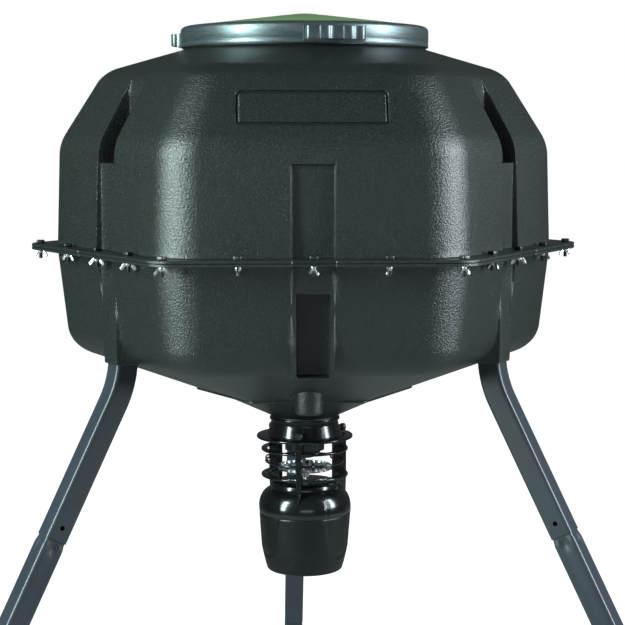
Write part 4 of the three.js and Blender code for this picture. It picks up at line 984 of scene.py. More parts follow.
band_corner = BAND_TOP_Z - BAND_ROUND
band_turn = [
    (BAND_RADIUS - BAND_ROUND * (1 - math.cos(a)), band_corner + BAND_ROUND * math.sin(a))
    for a in (math.pi / 2 * step / 8 for step in range(9))
]
band_inside = [
    (BAND_RADIUS - BAND_ROUND + (BAND_ROUND - BAND_WALL) * math.cos(a),
     band_corner + (BAND_ROUND - BAND_WALL) * math.sin(a))
    for a in (math.pi / 2 * step / 5 for step in range(5, -1, -1))
]
band_shape = turned([
    (band_inner + 0.8, BAND_Z),
    (BAND_RADIUS - 0.8, BAND_Z),
    (BAND_RADIUS, BAND_Z + 0.8),
    (BAND_RADIUS, BAND_Z + 6.5),
    (BAND_RADIUS - 0.7, BAND_Z + 7.4),
    (BAND_RADIUS - 0.7, BAND_Z + 8.2),
    (BAND_RADIUS, BAND_Z + 9.1),
    *band_turn,
    (BAND_MOUTH + 0.8, BAND_TOP_Z),
    (BAND_MOUTH, BAND_TOP_Z - 0.8),
    (BAND_MOUTH, BAND_TOP_Z - BAND_WALL),
    *band_inside,
    (band_inner, BAND_Z + 0.8),
], 160)
made("lid_clamp_band", band_shape, band_steel, "lid", ["lid_band"], sharp=45)

seal_shape = turned(softened([
    (MOUTH_RADIUS - MOUTH_WALL, MOUTH_TOP_Z + GAP),
    (lid_edge, MOUTH_TOP_Z + GAP),
    (lid_edge, MOUTH_TOP_Z + GAP + GASKET_THICK),
    (MOUTH_RADIUS - MOUTH_WALL, MOUTH_TOP_Z + GAP + GASKET_THICK),
], 1.5, 4), 128)
made("lid_foam_seal", seal_shape, seal_rubber, "lid", ["lid_gasket"])

# ---------------------------------------------------------------- lid latches
# Three pressed steel levers clamp the band. Each is a bowed strip with two finger bumps, hung by
# its tongue on a pin between the cheeks of a bracket riveted to the band.
LATCH_HEADINGS = (-79, 161, 41)
LATCH_WIDTH = 97
LATCH_HEIGHT = 20
LATCH_STRIP = 3
LATCH_REACH = 16
LATCH_BUMP = 4.5
LATCH_CHAMFER = 5
LATCH_BASE_THICK = 2.6
LATCH_BASE_WIDTH = 100
LATCH_BASE_HEIGHT = 24
LATCH_BASE_UP = 2
LATCH_PIN_OUT = 8
LATCH_PIN_UP = 8
LATCH_PIN_RADIUS = 2.5
LATCH_EYE = 4.4
LATCH_TONGUE = 10
LATCH_CHEEK = 3
LATCH_RIVET = 4


def bar(radius, low, high, sides=24, bevel=0):
    """A round bar up Z."""
    return turned([
        (0, low), (radius - bevel, low), (radius, low + bevel),
        (radius, high - bevel), (radius - bevel, high), (0, high),
    ] if bevel else [(0, low), (radius, low), (radius, high), (0, high)], sides)


def block(x, y, z):
    return raised([(x[0], y[0]), (x[1], y[0]), (x[1], y[1]), (x[0], y[1])], *z)


# The latches' steel is bright-rolled and lacquered a shade darker than the band, with fine
# scratches along the strip.
latch_steel, tree, shader = material(
    "lacquered_latch_steel", "#4b5456", Roughness=0.34, Metallic=0.75,
)
where = add(tree, "ShaderNodeTexCoord")
drawn = add(tree, "ShaderNodeMapping", inputs={
    "Vector": where.outputs["Object"], "Scale": (1, 1, 12),
})
scratch = add(tree, "ShaderNodeTexNoise", inputs={
    "Vector": drawn.outputs["Vector"], "Scale": 1 / (9 * MM), "Detail": 4,
})
grey = add(tree, "ShaderNodeMix", {"data_type": "RGBA"}, {
    "Factor": scratch.outputs["Fac"], "A": linear("#3c4446"), "B": linear("#5c6568"),
})
rough = add(tree, "ShaderNodeMapRange", inputs={
    "Value": scratch.outputs["Fac"], "To Min": 0.24, "To Max": 0.46,
})
relief = add(tree, "ShaderNodeBump", inputs={
    "Height": scratch.outputs["Fac"], "Strength": 0.2, "Distance": 0.05 * MM,
})
tree.links.new(grey.outputs["Result"], shader.inputs["Base Color"])
tree.links.new(rough.outputs["Result"], shader.inputs["Roughness"])
tree.links.new(relief.outputs["Normal"], shader.inputs["Normal"])

# Plain drawn steel for pins and shafts: bright, with a finely mottled sheen.
bright_steel, tree, shader = material("bright_drawn_steel", "#b4b8bb", Roughness=0.25, Metallic=1.0)
where = add(tree, "ShaderNodeTexCoord")
marks = add(tree, "ShaderNodeTexNoise", inputs={
    "Vector": where.outputs["Object"], "Scale": 1 / (1.2 * MM), "Detail": 3,
})
rough = add(tree, "ShaderNodeMapRange", inputs={
    "Value": marks.outputs["Fac"], "To Min": 0.16, "To Max": 0.38,
})
tone = add(tree, "ShaderNodeMix", {"data_type": "RGBA"}, {
    "Factor": marks.outputs["Fac"], "A": linear("#a2a6a9"), "B": linear("#c6c9cb"),
})
tree.links.new(rough.outputs["Result"], shader.inputs["Roughness"])
tree.links.new(tone.outputs["Result"], shader.inputs["Base Color"])

latch_half = LATCH_WIDTH / 2
lever_low = LATCH_PIN_UP - 3
bump_out = LATCH_REACH + LATCH_BUMP
half_face = [
    (latch_half, LATCH_BASE_THICK + 5 * GAP),
    (latch_half, LATCH_REACH - LATCH_CHAMFER),
    (latch_half - LATCH_CHAMFER, LATCH_REACH),
    (latch_half * 0.62, LATCH_REACH),
    (latch_half * 0.5, bump_out),
    (latch_half * 0.28, bump_out),
    (latch_half * 0.16, LATCH_REACH),
]
face_line = half_face + [(-y, x) for y, x in reversed(half_face)]
back_line = [
    (math.copysign(latch_half - LATCH_STRIP, y), x) if abs(y) == latch_half
    else (y, x - LATCH_STRIP)
    for y, x in face_line
]
strip_line = softened([(x, y) for y, x in face_line + back_line[::-1]], 7, 8)
on_pin = Matrix.Translation((LATCH_PIN_OUT, 0, LATCH_PIN_UP)) @ upright
eye = placed(bar(LATCH_EYE, -LATCH_TONGUE / 2, LATCH_TONGUE / 2), on_pin)
tongue_y = (-LATCH_TONGUE / 2, LATCH_TONGUE / 2)
tongue_z = (lever_low + 0.4, LATCH_PIN_UP + LATCH_EYE)
lever_shape = merged(
    raised(strip_line, lever_low, lever_low + LATCH_HEIGHT),
    block((LATCH_PIN_OUT, LATCH_REACH - 1), tongue_y, tongue_z),
    eye,
)

base_z = (LATCH_BASE_UP, LATCH_BASE_UP + LATCH_BASE_HEIGHT)
sweep = [LATCH_BASE_WIDTH / 2 * (step / 8 - 1) for step in range(17)]
curved_back = [(math.sqrt((BAND_RADIUS + GAP) ** 2 - y * y) - BAND_RADIUS, y) for y in sweep]
plate_line = [(LATCH_BASE_THICK, -sweep[0]), (LATCH_BASE_THICK, sweep[0])]
bracket_shape = raised(curved_back + plate_line, *base_z)
cheek_line = [(0, -LATCH_EYE)]
cheek_line += [
    (LATCH_PIN_OUT + LATCH_EYE * math.sin(a), -LATCH_EYE * math.cos(a))
    for a in (math.pi * step / 10 for step in range(11))
]
cheek_line.append((0, LATCH_EYE))
for turn_side in (-1, 1):
    low = LATCH_TONGUE / 2 + GAP
    span = sorted((turn_side * low, turn_side * (low + LATCH_CHEEK)))
    cheek = placed(raised(cheek_line, *span), Matrix.Translation((0, 0, LATCH_PIN_UP)) @ upright)
    bracket_shape = merged(bracket_shape, cheek)
    for up in (0.28, 0.72):
        rivet = Matrix.Translation((
            LATCH_BASE_THICK - 0.2,
            turn_side * (LATCH_BASE_WIDTH / 2 - 9),
            base_z[0] + LATCH_BASE_HEIGHT * up,
        )) @ Matrix.Rotation(math.pi / 2, 4, "Y")
        dome = [(0, 0), (LATCH_RIVET, 0), (LATCH_RIVET * 0.8, 0.8), (0, 1.1)]
        bracket_shape = merged(bracket_shape, placed(turned(dome, 20), rivet))

pin_half = LATCH_TONGUE / 2 + GAP + LATCH_CHEEK + 2.5
pin_shape = placed(bar(LATCH_PIN_RADIUS, -pin_half, pin_half, bevel=0.6), on_pin)
for i, angle in enumerate(LATCH_HEADINGS):
    spot = heading(angle, BAND_RADIUS, BAND_Z)
    n = i + 1
    made(f"band_latch_{n}", placed(lever_shape, spot), latch_steel,
         f"latch_{n}", [f"latch_lever_{n}"], bevel=0.5)
    made(f"band_bracket_{n}", placed(bracket_shape, spot), latch_steel,
         "lid", [f"latch_bracket_{n}"], bevel=0.4)
    made(f"band_hinge_pin_{n}", placed(pin_shape, spot), bright_steel,
         "lid", [f"latch_pin_{n}"])

# ---------------------------------------------------------------- legs
# Each leg is square steel tube in three lengths. The top one is bent outward below its socket;
# the others are necked down at their tops to plug in, with a pin hole through each joint.
TUBE = 38.1
TUBE_WALL = 1.2
TUBE_CORNER = 5
LEG_RADIUS = JOINT_APOTHEM - 30
LEG_LEAN = math.radians(27.76)
BEND_RADIUS = 167
BEND_Z = JOINT_Z - 204.9
LEG_TOP_Z = JOINT_Z - 8 - GAP
JOINT_RUNS = (277.7, 736.5, 1236)
TUBE_END_RUN = 1215.8
PLUG_DEPTH = 60
NECK_LENGTH = 14
PIN_HOLE = 4
PIN_HOLE_FROM_END = 22
SWAGE_DENTS = ((0.2, 0.3), (0.45, 1.4), (0.7, 2.6), (1, 3), (1.3, 2.2), (1.7, 0.9), (2.2, 0))
LEG_HEADINGS = (-150, -30, 90)


def leg_place(run):
    """On the leg's middle line this far below its bend: X runs down the leg, Y across."""
    lie = Matrix.Rotation(math.pi / 2 - LEG_LEAN, 4, "Y")
    spot = (LEG_RADIUS + run * math.sin(LEG_LEAN), 0, BEND_Z - run * math.cos(LEG_LEAN))
    return Matrix.Translation(spot) @ lie


def square_ring(matrix, size, corner, dents=0, steps=4):
    """A round-cornered square about a matrix's X, with its sides' middles pressed in by dents."""
    ring = []
    flat = size / 2 - corner
    for quarter in range(4):
        swing = Matrix.Rotation(-quarter * math.pi / 2, 3, "X")
        for share in (-0.75, -0.45, -0.15, 0.15, 0.45, 0.75):
            depth = dents * math.cos(min(abs(share) / 0.8, 1) * math.pi / 2) ** 2
            ring.append(swing @ Vector((0, share * flat, size / 2 - depth)))
        for step in range(steps + 1):
            angle = math.pi / 2 * step / steps
            ring.append(swing @ Vector((
                0, flat + corner * math.sin(angle), flat + corner * math.cos(angle),
            )))
    return [tuple(matrix @ point) for point in ring]


def tube_piece(outside, wall):
    """A tube through stations of place, size, corner and dents, open at both ends."""
    inside = [(place, size - 2 * wall, max(corner - wall, 1), dents)
              for place, size, corner, dents in reversed(outside)]
    return lofted([square_ring(*station) for station in outside + inside], looped=True)


def drilled(thing, spot, radius, run):
    """Cuts a round hole through a piece, along its place's Y."""
    tool = shown("drill", mesh_of("drill", placed(bar(radius, -run, run), spot @ upright), axis))
    drill = thing.modifiers.new("hole", "BOOLEAN")
    drill.operation = "DIFFERENCE"
    drill.solver = "EXACT"
    drill.object = tool
    bpy.context.view_layer.update()
    plain_mesh(thing)
    bpy.data.objects.remove(tool)


# Powder-coated steel tube in dark slate grey: a satin skin with fine orange peel, slightly
# uneven in tone down its length.
leg_paint, tree, shader = material("slate_powder_coat", "#262b33", Roughness=0.34, IOR=1.5)
where = add(tree, "ShaderNodeTexCoord")
peel = add(tree, "ShaderNodeTexNoise", inputs={
    "Vector": where.outputs["Object"], "Scale": 1 / (1.6 * MM), "Detail": 2,
})
cloud = add(tree, "ShaderNodeTexNoise", inputs={
    "Vector": where.outputs["Object"], "Scale": 1 / (90 * MM), "Detail": 3,
})
slate = add(tree, "ShaderNodeMix", {"data_type": "RGBA"}, {
    "Factor": cloud.outputs["Fac"], "A": linear("#20252c"), "B": linear("#2c323a"),
})
rough = add(tree, "ShaderNodeMapRange", inputs={
    "Value": peel.outputs["Fac"], "To Min": 0.3, "To Max": 0.46,
})
relief = add(tree, "ShaderNodeBump", inputs={
    "Height": peel.outputs["Fac"], "Strength": 0.3, "Distance": 0.08 * MM,
})
tree.links.new(slate.outputs["Result"], shader.inputs["Base Color"])
tree.links.new(rough.outputs["Result"], shader.inputs["Roughness"])
tree.links.new(relief.outputs["Normal"], shader.inputs["Normal"])

top_stations = [(leg_place(JOINT_RUNS[0]), TUBE, TUBE_CORNER, 0)]
bend_reach = BEND_RADIUS * math.tan(LEG_LEAN / 2)
for step in range(16, -1, -1):
    angle = LEG_LEAN * step / 16
    lie = Matrix.Rotation(math.pi / 2 - angle, 4, "Y")
    spot = (
        LEG_RADIUS + BEND_RADIUS * (1 - math.cos(angle)),
        0,
        BEND_Z + bend_reach - BEND_RADIUS * math.sin(angle),
    )
    top_stations.append((Matrix.Translation(spot) @ lie, TUBE, TUBE_CORNER, 0))
stand_up = Matrix.Rotation(math.pi / 2, 4, "Y")
top_place = Matrix.Translation((LEG_RADIUS, 0, LEG_TOP_Z)) @ stand_up
top_stations.append((top_place, TUBE, TUBE_CORNER, 0))

plug_size = TUBE - 2 * TUBE_WALL - 0.8


def plugged_stations(shoulder, end):
    """The swaged tube: its plug, its necked shoulder with a dent each side, and its full size."""
    rows = [(shoulder - PLUG_DEPTH, plug_size, 3.8, 0), (shoulder + GAP, plug_size, 3.8, 0)]
    for share, dent in SWAGE_DENTS:
        size = plug_size + (TUBE - plug_size) * eased(min(share, 1))
        rows.append((shoulder + NECK_LENGTH * share, size, TUBE_CORNER, dent))
    rows.append((end, TUBE, TUBE_CORNER, 0))
    return [(leg_place(run), size, corner, dent) for run, size, corner, dent in rows]


leg_shapes = {
    "upper": tube_piece(top_stations, TUBE_WALL),
    "middle": tube_piece(plugged_stations(JOINT_RUNS[0], JOINT_RUNS[1]), TUBE_WALL),
    "lower": tube_piece(plugged_stations(JOINT_RUNS[1], TUBE_END_RUN), TUBE_WALL),
}
holes = {"upper": [0], "middle": [0, 1], "lower": [1]}
for length, shape in leg_shapes.items():
    pattern = shown("tube", mesh_of("tube", shape, axis))
    for hole in holes[length]:
        drilled(pattern, leg_place(JOINT_RUNS[hole] - PIN_HOLE_FROM_END), PIN_HOLE, TUBE)
    pattern.data.shade_smooth()
    pattern.data.set_sharp_from_angle(angle=math.radians(38))
    for i, angle in enumerate(LEG_HEADINGS):
        mesh = pattern.data.copy()
        mesh.transform(Matrix.Translation(axis) @ heading(angle) @ Matrix.Translation(-axis))
        settled(shown(f"leg_{length}_tube_{i + 1}", mesh), leg_paint,
                "stand", [f"{length}_leg_{i + 1}"])
    bpy.data.objects.remove(pattern)

# ---------------------------------------------------------------- feet
# Moulded rubber boots pushed over the ends of the legs, each with a round pad that spreads the
# load on soft ground.
FOOT_RADIUS = 32
FOOT_PAD = 9
FOOT_BOOT = 62
FOOT_WALL = 4

# Carbon-black rubber: dark and matt, with a soft patchy bloom of grey.
foot_rubber, tree, shader = material("moulded_black_rubber", "#1b1c1e", Roughness=0.75, IOR=1.52)
where = add(tree, "ShaderNodeTexCoord")
bloom = add(tree, "ShaderNodeTexNoise", inputs={
    "Vector": where.outputs["Object"], "Scale": 1 / (7 * MM), "Detail": 4,
})
black = add(tree, "ShaderNodeMix", {"data_type": "RGBA"}, {
    "Factor": bloom.outputs["Fac"], "A": linear("#131415"), "B": linear("#26282a"),
})
relief = add(tree, "ShaderNodeBump", inputs={
    "Height": bloom.outputs["Fac"], "Strength": 0.3, "Distance": 0.2 * MM,
})
tree.links.new(black.outputs["Result"], shader.inputs["Base Color"])
tree.links.new(relief.outputs["Normal"], shader.inputs["Normal"])

boot_size = TUBE + 2 * (FOOT_WALL + GAP)
boot_runs = [JOINT_RUNS[2] - FOOT_BOOT + d for d in (0, 0.6, 1.6, 20, 44)]
boot_sizes = [boot_size - 2, boot_size - 0.6, boot_size, boot_size, boot_size + 1]
boot_outside = [
    (leg_place(run), size, TUBE_CORNER + FOOT_WALL, 0) for run, size in zip(boot_runs, boot_sizes)
]
boot = tube_piece(boot_outside, FOOT_WALL)
foot_x = LEG_RADIUS + BEND_Z * math.tan(LEG_LEAN)
pad_outline = softened([
    (0, 0), (FOOT_RADIUS, 0), (FOOT_RADIUS, FOOT_PAD * 0.55),
    (FOOT_RADIUS - 3, FOOT_PAD + 1), (FOOT_RADIUS - 12, FOOT_PAD + 4), (0, FOOT_PAD + 4),
], 2.5, 4)
pad = placed(turned(pad_outline, 64), Matrix.Translation((foot_x - 1.5, 0, 0)))
for i, angle in enumerate(LEG_HEADINGS):
    made(f"foot_boot_{i + 1}", placed(merged(boot, pad), heading(angle)), foot_rubber,
         "stand", [f"leg_foot_{i + 1}"])

# ---------------------------------------------------------------- spinner unit housing
# A gloss black dome screwed under the guard, and below its seam a tapering cup that holds the
# battery. Three shallow round-ended pockets run down the cup between its flat front panels.
HOUSING_RADIUS = 80
HOUSING_WALL = 2.5
NECK_RADIUS = 57.5
NECK_Z = SPOUT_TOP_Z - 117
DOME_Z = NECK_Z - 43
DOME_HEIGHT = 33
SEAM_Z = SPOUT_TOP_Z - 168.9
SKIRT_Z = SEAM_Z - 9
CUP_Z = SEAM_Z - 101
CUP_WAIST_RADIUS = 74.8
CUP_WAIST_Z = CUP_Z + 41
CUP_BASE_RADIUS = 66
SHAFT_RADIUS = 3
POCKET_HEADINGS = (-156, -36, 84)
POCKET_DEEP = 1.5
POCKET_SWING = 30
PANEL_HEADING = -92
PANEL_TOP_Z = CUP_Z + 27
PANEL_TOP_HALF = 19
PANEL_SLOPE = 0.6
PANEL_PROUD = 0.8
SIDES_ROUND = 180


def round_shell(outline, carve, sides=SIDES_ROUND):
    """Turns a closed outline, with each point let in by the carving at its heading and height."""
    rings = []
    for step in range(sides):
        turn = 360 * step / sides
        a = math.radians(turn)
        ring = []
        for r, z in outline:
            deep = carve(turn, z) if r > 30 else 0
            ring.append(((r - deep) * math.cos(a), (r - deep) * math.sin(a), z))
        rings.append(ring)
    return lofted(rings, looped=True)


def off_nearest(turn, headings):
    return min(abs((turn - h + 180) % 360 - 180) for h in headings)


def cup_pocket(turn, z):
    """A pocket with straight sides that closes to a round end above the cup's base."""
    off = off_nearest(turn, POCKET_HEADINGS)
    across = math.radians(off) * 74
    half = math.radians(POCKET_SWING) * 74 - (SEAM_Z - z) * 0.2
    foot = CUP_Z + 46
    if z < foot:
        across = math.hypot(across, (foot - z) * 1.25)
    return POCKET_DEEP * (1 - eased((across - half) / 3 + 0.5))


def cup_face(turn, z):
    """The pockets, and a low raised panel with sloping sides at the foot of the cup's front."""
    across = math.radians(off_nearest(turn, (PANEL_HEADING,))) * CUP_BASE_RADIUS
    half = PANEL_TOP_HALF + (PANEL_TOP_Z - z) * PANEL_SLOPE
    panel = (1 - eased((across - half) / 2 + 0.5)) * window(z, CUP_Z + 8, PANEL_TOP_Z, 1.5)
    return (cup_pocket(turn, z) if z > CUP_Z + 8 else 0) - PANEL_PROUD * panel


def dome_step(turn, z):
    """The cup's pockets carry on up the dome as soft steps that die out near its top."""
    off = off_nearest(turn, POCKET_HEADINGS)
    across = math.radians(off) * 76
    half = math.radians(POCKET_SWING) * 76 - max(z - SEAM_Z, 0) * 0.1
    fade = window(z, SEAM_Z - 20, SEAM_Z + 26, 14)
    return POCKET_DEEP * 0.8 * fade * (1 - eased((across - half) / 3 + 0.5))


def arc_points(x, z, reach, high, start, end, steps):
    return [
        (x + reach * math.cos(math.radians(a)), z + high * math.sin(math.radians(a)))
        for a in (start + (end - start) * step / steps for step in range(steps + 1))
    ]


# Gloss black ABS: a deep even black with polished highlights, very slightly wavy from the mould
# and lightly dusted.
gloss_black, tree, shader = material("gloss_black_abs", "#0e1013", Roughness=0.16, IOR=1.54)
where = add(tree, "ShaderNodeTexCoord")
wave = add(tree, "ShaderNodeTexNoise", inputs={
    "Vector": where.outputs["Object"], "Scale": 1 / (14 * MM), "Detail": 1,
})
dust = add(tree, "ShaderNodeTexNoise", inputs={
    "Vector": where.outputs["Object"], "Scale": 1 / (2.5 * MM), "Detail": 4,
})
rough = add(tree, "ShaderNodeMapRange", inputs={
    "Value": dust.outputs["Fac"], "To Min": 0.11, "To Max": 0.24,
})
black = add(tree, "ShaderNodeMix", {"data_type": "RGBA"}, {
    "Factor": dust.outputs["Fac"], "A": linear("#0b0c0e"), "B": linear("#131518"),
})
relief = add(tree, "ShaderNodeBump", inputs={
    "Height": wave.outputs["Fac"], "Strength": 0.25, "Distance": 0.3 * MM,
})
tree.links.new(rough.outputs["Result"], shader.inputs["Roughness"])
tree.links.new(black.outputs["Result"], shader.inputs["Base Color"])
tree.links.new(relief.outputs["Normal"], shader.inputs["Normal"])

# The cup is the same ABS from a fine-textured mould, so its sheen is broad and soft.
satin_black, tree, shader = material("satin_black_abs", "#08090a", Roughness=0.42, IOR=1.54)
shader.inputs["Specular IOR Level"].default_value = 0.3
where = add(tree, "ShaderNodeTexCoord")
grain = add(tree, "ShaderNodeTexNoise", inputs={
    "Vector": where.outputs["Object"], "Scale": 1 / (0.9 * MM), "Detail": 2,
})
rubbed = add(tree, "ShaderNodeTexNoise", inputs={
    "Vector": where.outputs["Object"], "Scale": 1 / (40 * MM), "Detail": 3,
})
rough = add(tree, "ShaderNodeMapRange", inputs={
    "Value": rubbed.outputs["Fac"], "To Min": 0.32, "To Max": 0.5,
})
black = add(tree, "ShaderNodeMix", {"data_type": "RGBA"}, {
    "Factor": rubbed.outputs["Fac"], "A": linear("#050607"), "B": linear("#0a0c0d"),
})
relief = add(tree, "ShaderNodeBump", inputs={
    "Height": grain.outputs["Fac"], "Strength": 0.35, "Distance": 0.1 * MM,
})
tree.links.new(rough.outputs["Result"], shader.inputs["Roughness"])
tree.links.new(black.outputs["Result"], shader.inputs["Base Color"])
tree.links.new(relief.outputs["Normal"], shader.inputs["Normal"])

skirt = HOUSING_RADIUS - HOUSING_WALL - 2.5
dome_reach = HOUSING_RADIUS - NECK_RADIUS
dome_outline = [
    (SHAFT_RADIUS + 2, NECK_Z),
    (NECK_RADIUS - 1, NECK_Z),
    (NECK_RADIUS, NECK_Z - 1),
    (NECK_RADIUS, NECK_Z - 9),
    *arc_points(NECK_RADIUS, DOME_Z, dome_reach, DOME_HEIGHT, 86, 0, 18),
    (HOUSING_RADIUS, SEAM_Z + GAP / 2 + 1),
    (HOUSING_RADIUS - 0.8, SEAM_Z + GAP / 2),
    (skirt, SEAM_Z + GAP / 2),
    (skirt, SKIRT_Z),
    (skirt - HOUSING_WALL, SKIRT_Z),
    (skirt - HOUSING_WALL, DOME_Z),
    *arc_points(NECK_RADIUS, DOME_Z, dome_reach - 5, DOME_HEIGHT - 5, 20, 84, 6),
    (NECK_RADIUS - HOUSING_WALL, NECK_Z - 10),
    (NECK_RADIUS - HOUSING_WALL, NECK_Z - HOUSING_WALL),
    (SHAFT_RADIUS + 2, NECK_Z - HOUSING_WALL),
]
made("housing_dome", round_shell(dome_outline, dome_step), gloss_black,
     "stand", ["housing_top"], sharp=50)

cup_side = []
for step in range(33):
    z = CUP_Z + 5 + (SEAM_Z - GAP / 2 - 0.8 - CUP_Z - 5) * step / 32
    if z < CUP_WAIST_Z:
        share = (z - CUP_Z - 5) / (CUP_WAIST_Z - CUP_Z - 5)
        radius = CUP_BASE_RADIUS + (CUP_WAIST_RADIUS - CUP_BASE_RADIUS) * share ** 0.85
    else:
        share = (z - CUP_WAIST_Z) / (SEAM_Z - CUP_WAIST_Z)
        radius = CUP_WAIST_RADIUS + (HOUSING_RADIUS - 0.5 - CUP_WAIST_RADIUS) * share
    cup_side.append((radius, z))
cup_outline = [
    (0, CUP_Z + 1.2),
    (CUP_BASE_RADIUS - 14, CUP_Z + 1.2),
    (CUP_BASE_RADIUS - 12, CUP_Z),
    *arc_points(CUP_BASE_RADIUS - 5, CUP_Z + 5, 5, 5, -90, -8, 6),
    *cup_side,
    (HOUSING_RADIUS - 1.3, SEAM_Z - GAP / 2),
    (HOUSING_RADIUS - 0.5 - HOUSING_WALL, SEAM_Z - GAP / 2),
    *[(r - HOUSING_WALL, z) for r, z in reversed(cup_side[::4])],
    (CUP_BASE_RADIUS - 8, CUP_Z + HOUSING_WALL + 0.2),
    (0, CUP_Z + HOUSING_WALL + 0.2),
]
made("housing_battery_cup", round_shell(cup_outline, cup_face), satin_black,
     "battery_cup", ["housing_cup"], sharp=50)

# ---------------------------------------------------------------- guard frame
# One gloss black moulding: a collar with a lip that clamps the outlet, a deck under it, and below
# that two flat rings and a wire ring held by three blades that run down to the dome.
COLLAR_BORE = SPOUT_RADIUS + 0.6
COLLAR_WALL = 3.4
COLLAR_LIP = 2.5
COLLAR_FLARE = 6.5
COLLAR_TOP_Z = SPOUT_TOP_Z - 2
DECK_TOP_Z = SPOUT_TOP_Z - 33.9
DECK_THICK = 4
DECK_RADIUS = 83
DECK_INNER = 34.6
RING_RADIUS = 75
RING_THICK = 4
RING_TOPS = ((SPOUT_TOP_Z - 56, 10), (SPOUT_TOP_Z - 101, 15))
WIRE_RADIUS = 67
WIRE_THICK = 1.9
WIRE_Z = SPOUT_TOP_Z - 79.5
BLADE_HEADINGS = (-100, 20, 140)
BLADE_INNER = 53
BLADE_OUTER = 77
BLADE_THICK = 9
BLADE_POINT_Z = SPOUT_TOP_Z - 146
BLADE_TAPER = 32
BLADE_EDGE_DEEP = 1.2
BLADE_EDGE_SHARE = 0.72
LOOP_HEADINGS = (40, 160, -80)
LOOP_RADIUS = 5.2
LOOP_THICK = 1.5
THUMB_Z = DECK_TOP_Z + 8

collar_x = COLLAR_BORE + COLLAR_WALL
collar = turned(softened([
    (COLLAR_BORE, DECK_TOP_Z - 1),
    (collar_x + COLLAR_FLARE + 2, DECK_TOP_Z - 1),
    (collar_x + COLLAR_FLARE, DECK_TOP_Z + 2),
    (collar_x, COLLAR_TOP_Z - 11),
    (collar_x, COLLAR_TOP_Z - 4),
    (collar_x + COLLAR_LIP, COLLAR_TOP_Z - 4),
    (collar_x + COLLAR_LIP, COLLAR_TOP_Z),
    (COLLAR_BORE, COLLAR_TOP_Z),
], 0.9, 3), 120)


def flat_ring(outer, width, top, thick, rounding=1.2):
    return turned(softened([
        (outer - width, top - thick), (outer, top - thick), (outer, top), (outer - width, top),
    ], rounding, 3), 120)


guard_shapes = [collar, flat_ring(DECK_RADIUS, DECK_RADIUS - DECK_INNER, DECK_TOP_Z, DECK_THICK)]
guard_shapes += [flat_ring(RING_RADIUS, width, top, RING_THICK) for top, width in RING_TOPS]
guard_shapes.append(turned(
    arc_points(WIRE_RADIUS, WIRE_Z, WIRE_THICK, WIRE_THICK, 0, 330, 11), 120,
))
half = BLADE_THICK / 2
blade_turn = BLADE_OUTER - BLADE_EDGE_DEEP
blade_line = softened([
    (-half, DECK_TOP_Z - DECK_THICK + 1),
    (-half, BLADE_POINT_Z + BLADE_TAPER),
    (-0.6, BLADE_POINT_Z + 1),
    (0.6, BLADE_POINT_Z + 1),
    (half, BLADE_POINT_Z + BLADE_TAPER),
    (half, DECK_TOP_Z - DECK_THICK + 1),
], 3, 4)
for angle in BLADE_HEADINGS:
    blade = []
    for x in (BLADE_INNER, blade_turn - 0.01, blade_turn, BLADE_OUTER):
        shrink = BLADE_EDGE_SHARE if x == BLADE_OUTER else 1
        blade.append([(x, y * shrink, z) for y, z in blade_line])
    guard_shapes.append(placed(lofted(blade), heading(angle)))
    for up in (0.22, 0.5, 0.78):
        spread = BLADE_POINT_Z + BLADE_TAPER + (DECK_TOP_Z - BLADE_POINT_Z - BLADE_TAPER) * up
        stud = Matrix.Translation((BLADE_OUTER - 0.6, 0, spread)) @ stand_up
        guard_shapes.append(placed(
            placed(turned([(0, 0), (half * 0.62, 0), (half * 0.5, 1.1), (0, 1.4)], 20), stud),
            heading(angle),
        ))
for angle in LOOP_HEADINGS:
    loop = Matrix.Translation((WIRE_RADIUS - 1, 0, WIRE_Z)) @ upright
    ring = placed(turned(arc_points(LOOP_RADIUS, 0, LOOP_THICK, LOOP_THICK, 0, 330, 9), 24), loop)
    guard_shapes.append(placed(ring, heading(angle)))
made("outlet_guard_frame", merged(*guard_shapes), gloss_black,
     "stand", ["guard_frame"])

# ---------------------------------------------------------------- thumb screws
# Three black knobs turn on short steel studs above the deck and pinch the outlet. Each is a
# moulded grip with scalloped edges and a flat end.
THUMB_SHAFT = 2.4
THUMB_GRIP_START = SPOUT_RADIUS + 13
THUMB_GRIP_RADIUS = 6.5
THUMB_SCALLOPS = 8

scallops = []
for step in range(96):
    a = 2 * math.pi * step / 96
    r = THUMB_GRIP_RADIUS - 0.55 * (1 - math.cos(THUMB_SCALLOPS * a)) / 2
    scallops.append((r * math.cos(a), r * math.sin(a)))
grip_stations = ((0, 0.72), (0.8, 0.94), (1.6, 1), (7.2, 1), (8.4, 0.93), (9, 0.78), (8.7, 0.5))
grip = lofted([[(x * size, y * size, up) for x, y in scallops] for up, size in grip_stations])
stud = bar(THUMB_SHAFT, -(THUMB_GRIP_START - SPOUT_RADIUS - GAP), 1, 20)
flange = turned([(0, -2.4), (4, -2.4), (4.4, -2), (4.4, 0.2), (0, 0.2)], 32)
for i, angle in enumerate(BLADE_HEADINGS):
    out_along = Matrix.Translation((THUMB_GRIP_START, 0, THUMB_Z)) @ stand_up
    made(f"thumb_knob_{i + 1}", placed(merged(grip, stud, flange), heading(angle) @ out_along),
         black_nylon, f"clamp_screw_{i + 1}", [f"thumb_screw_{i + 1}"])

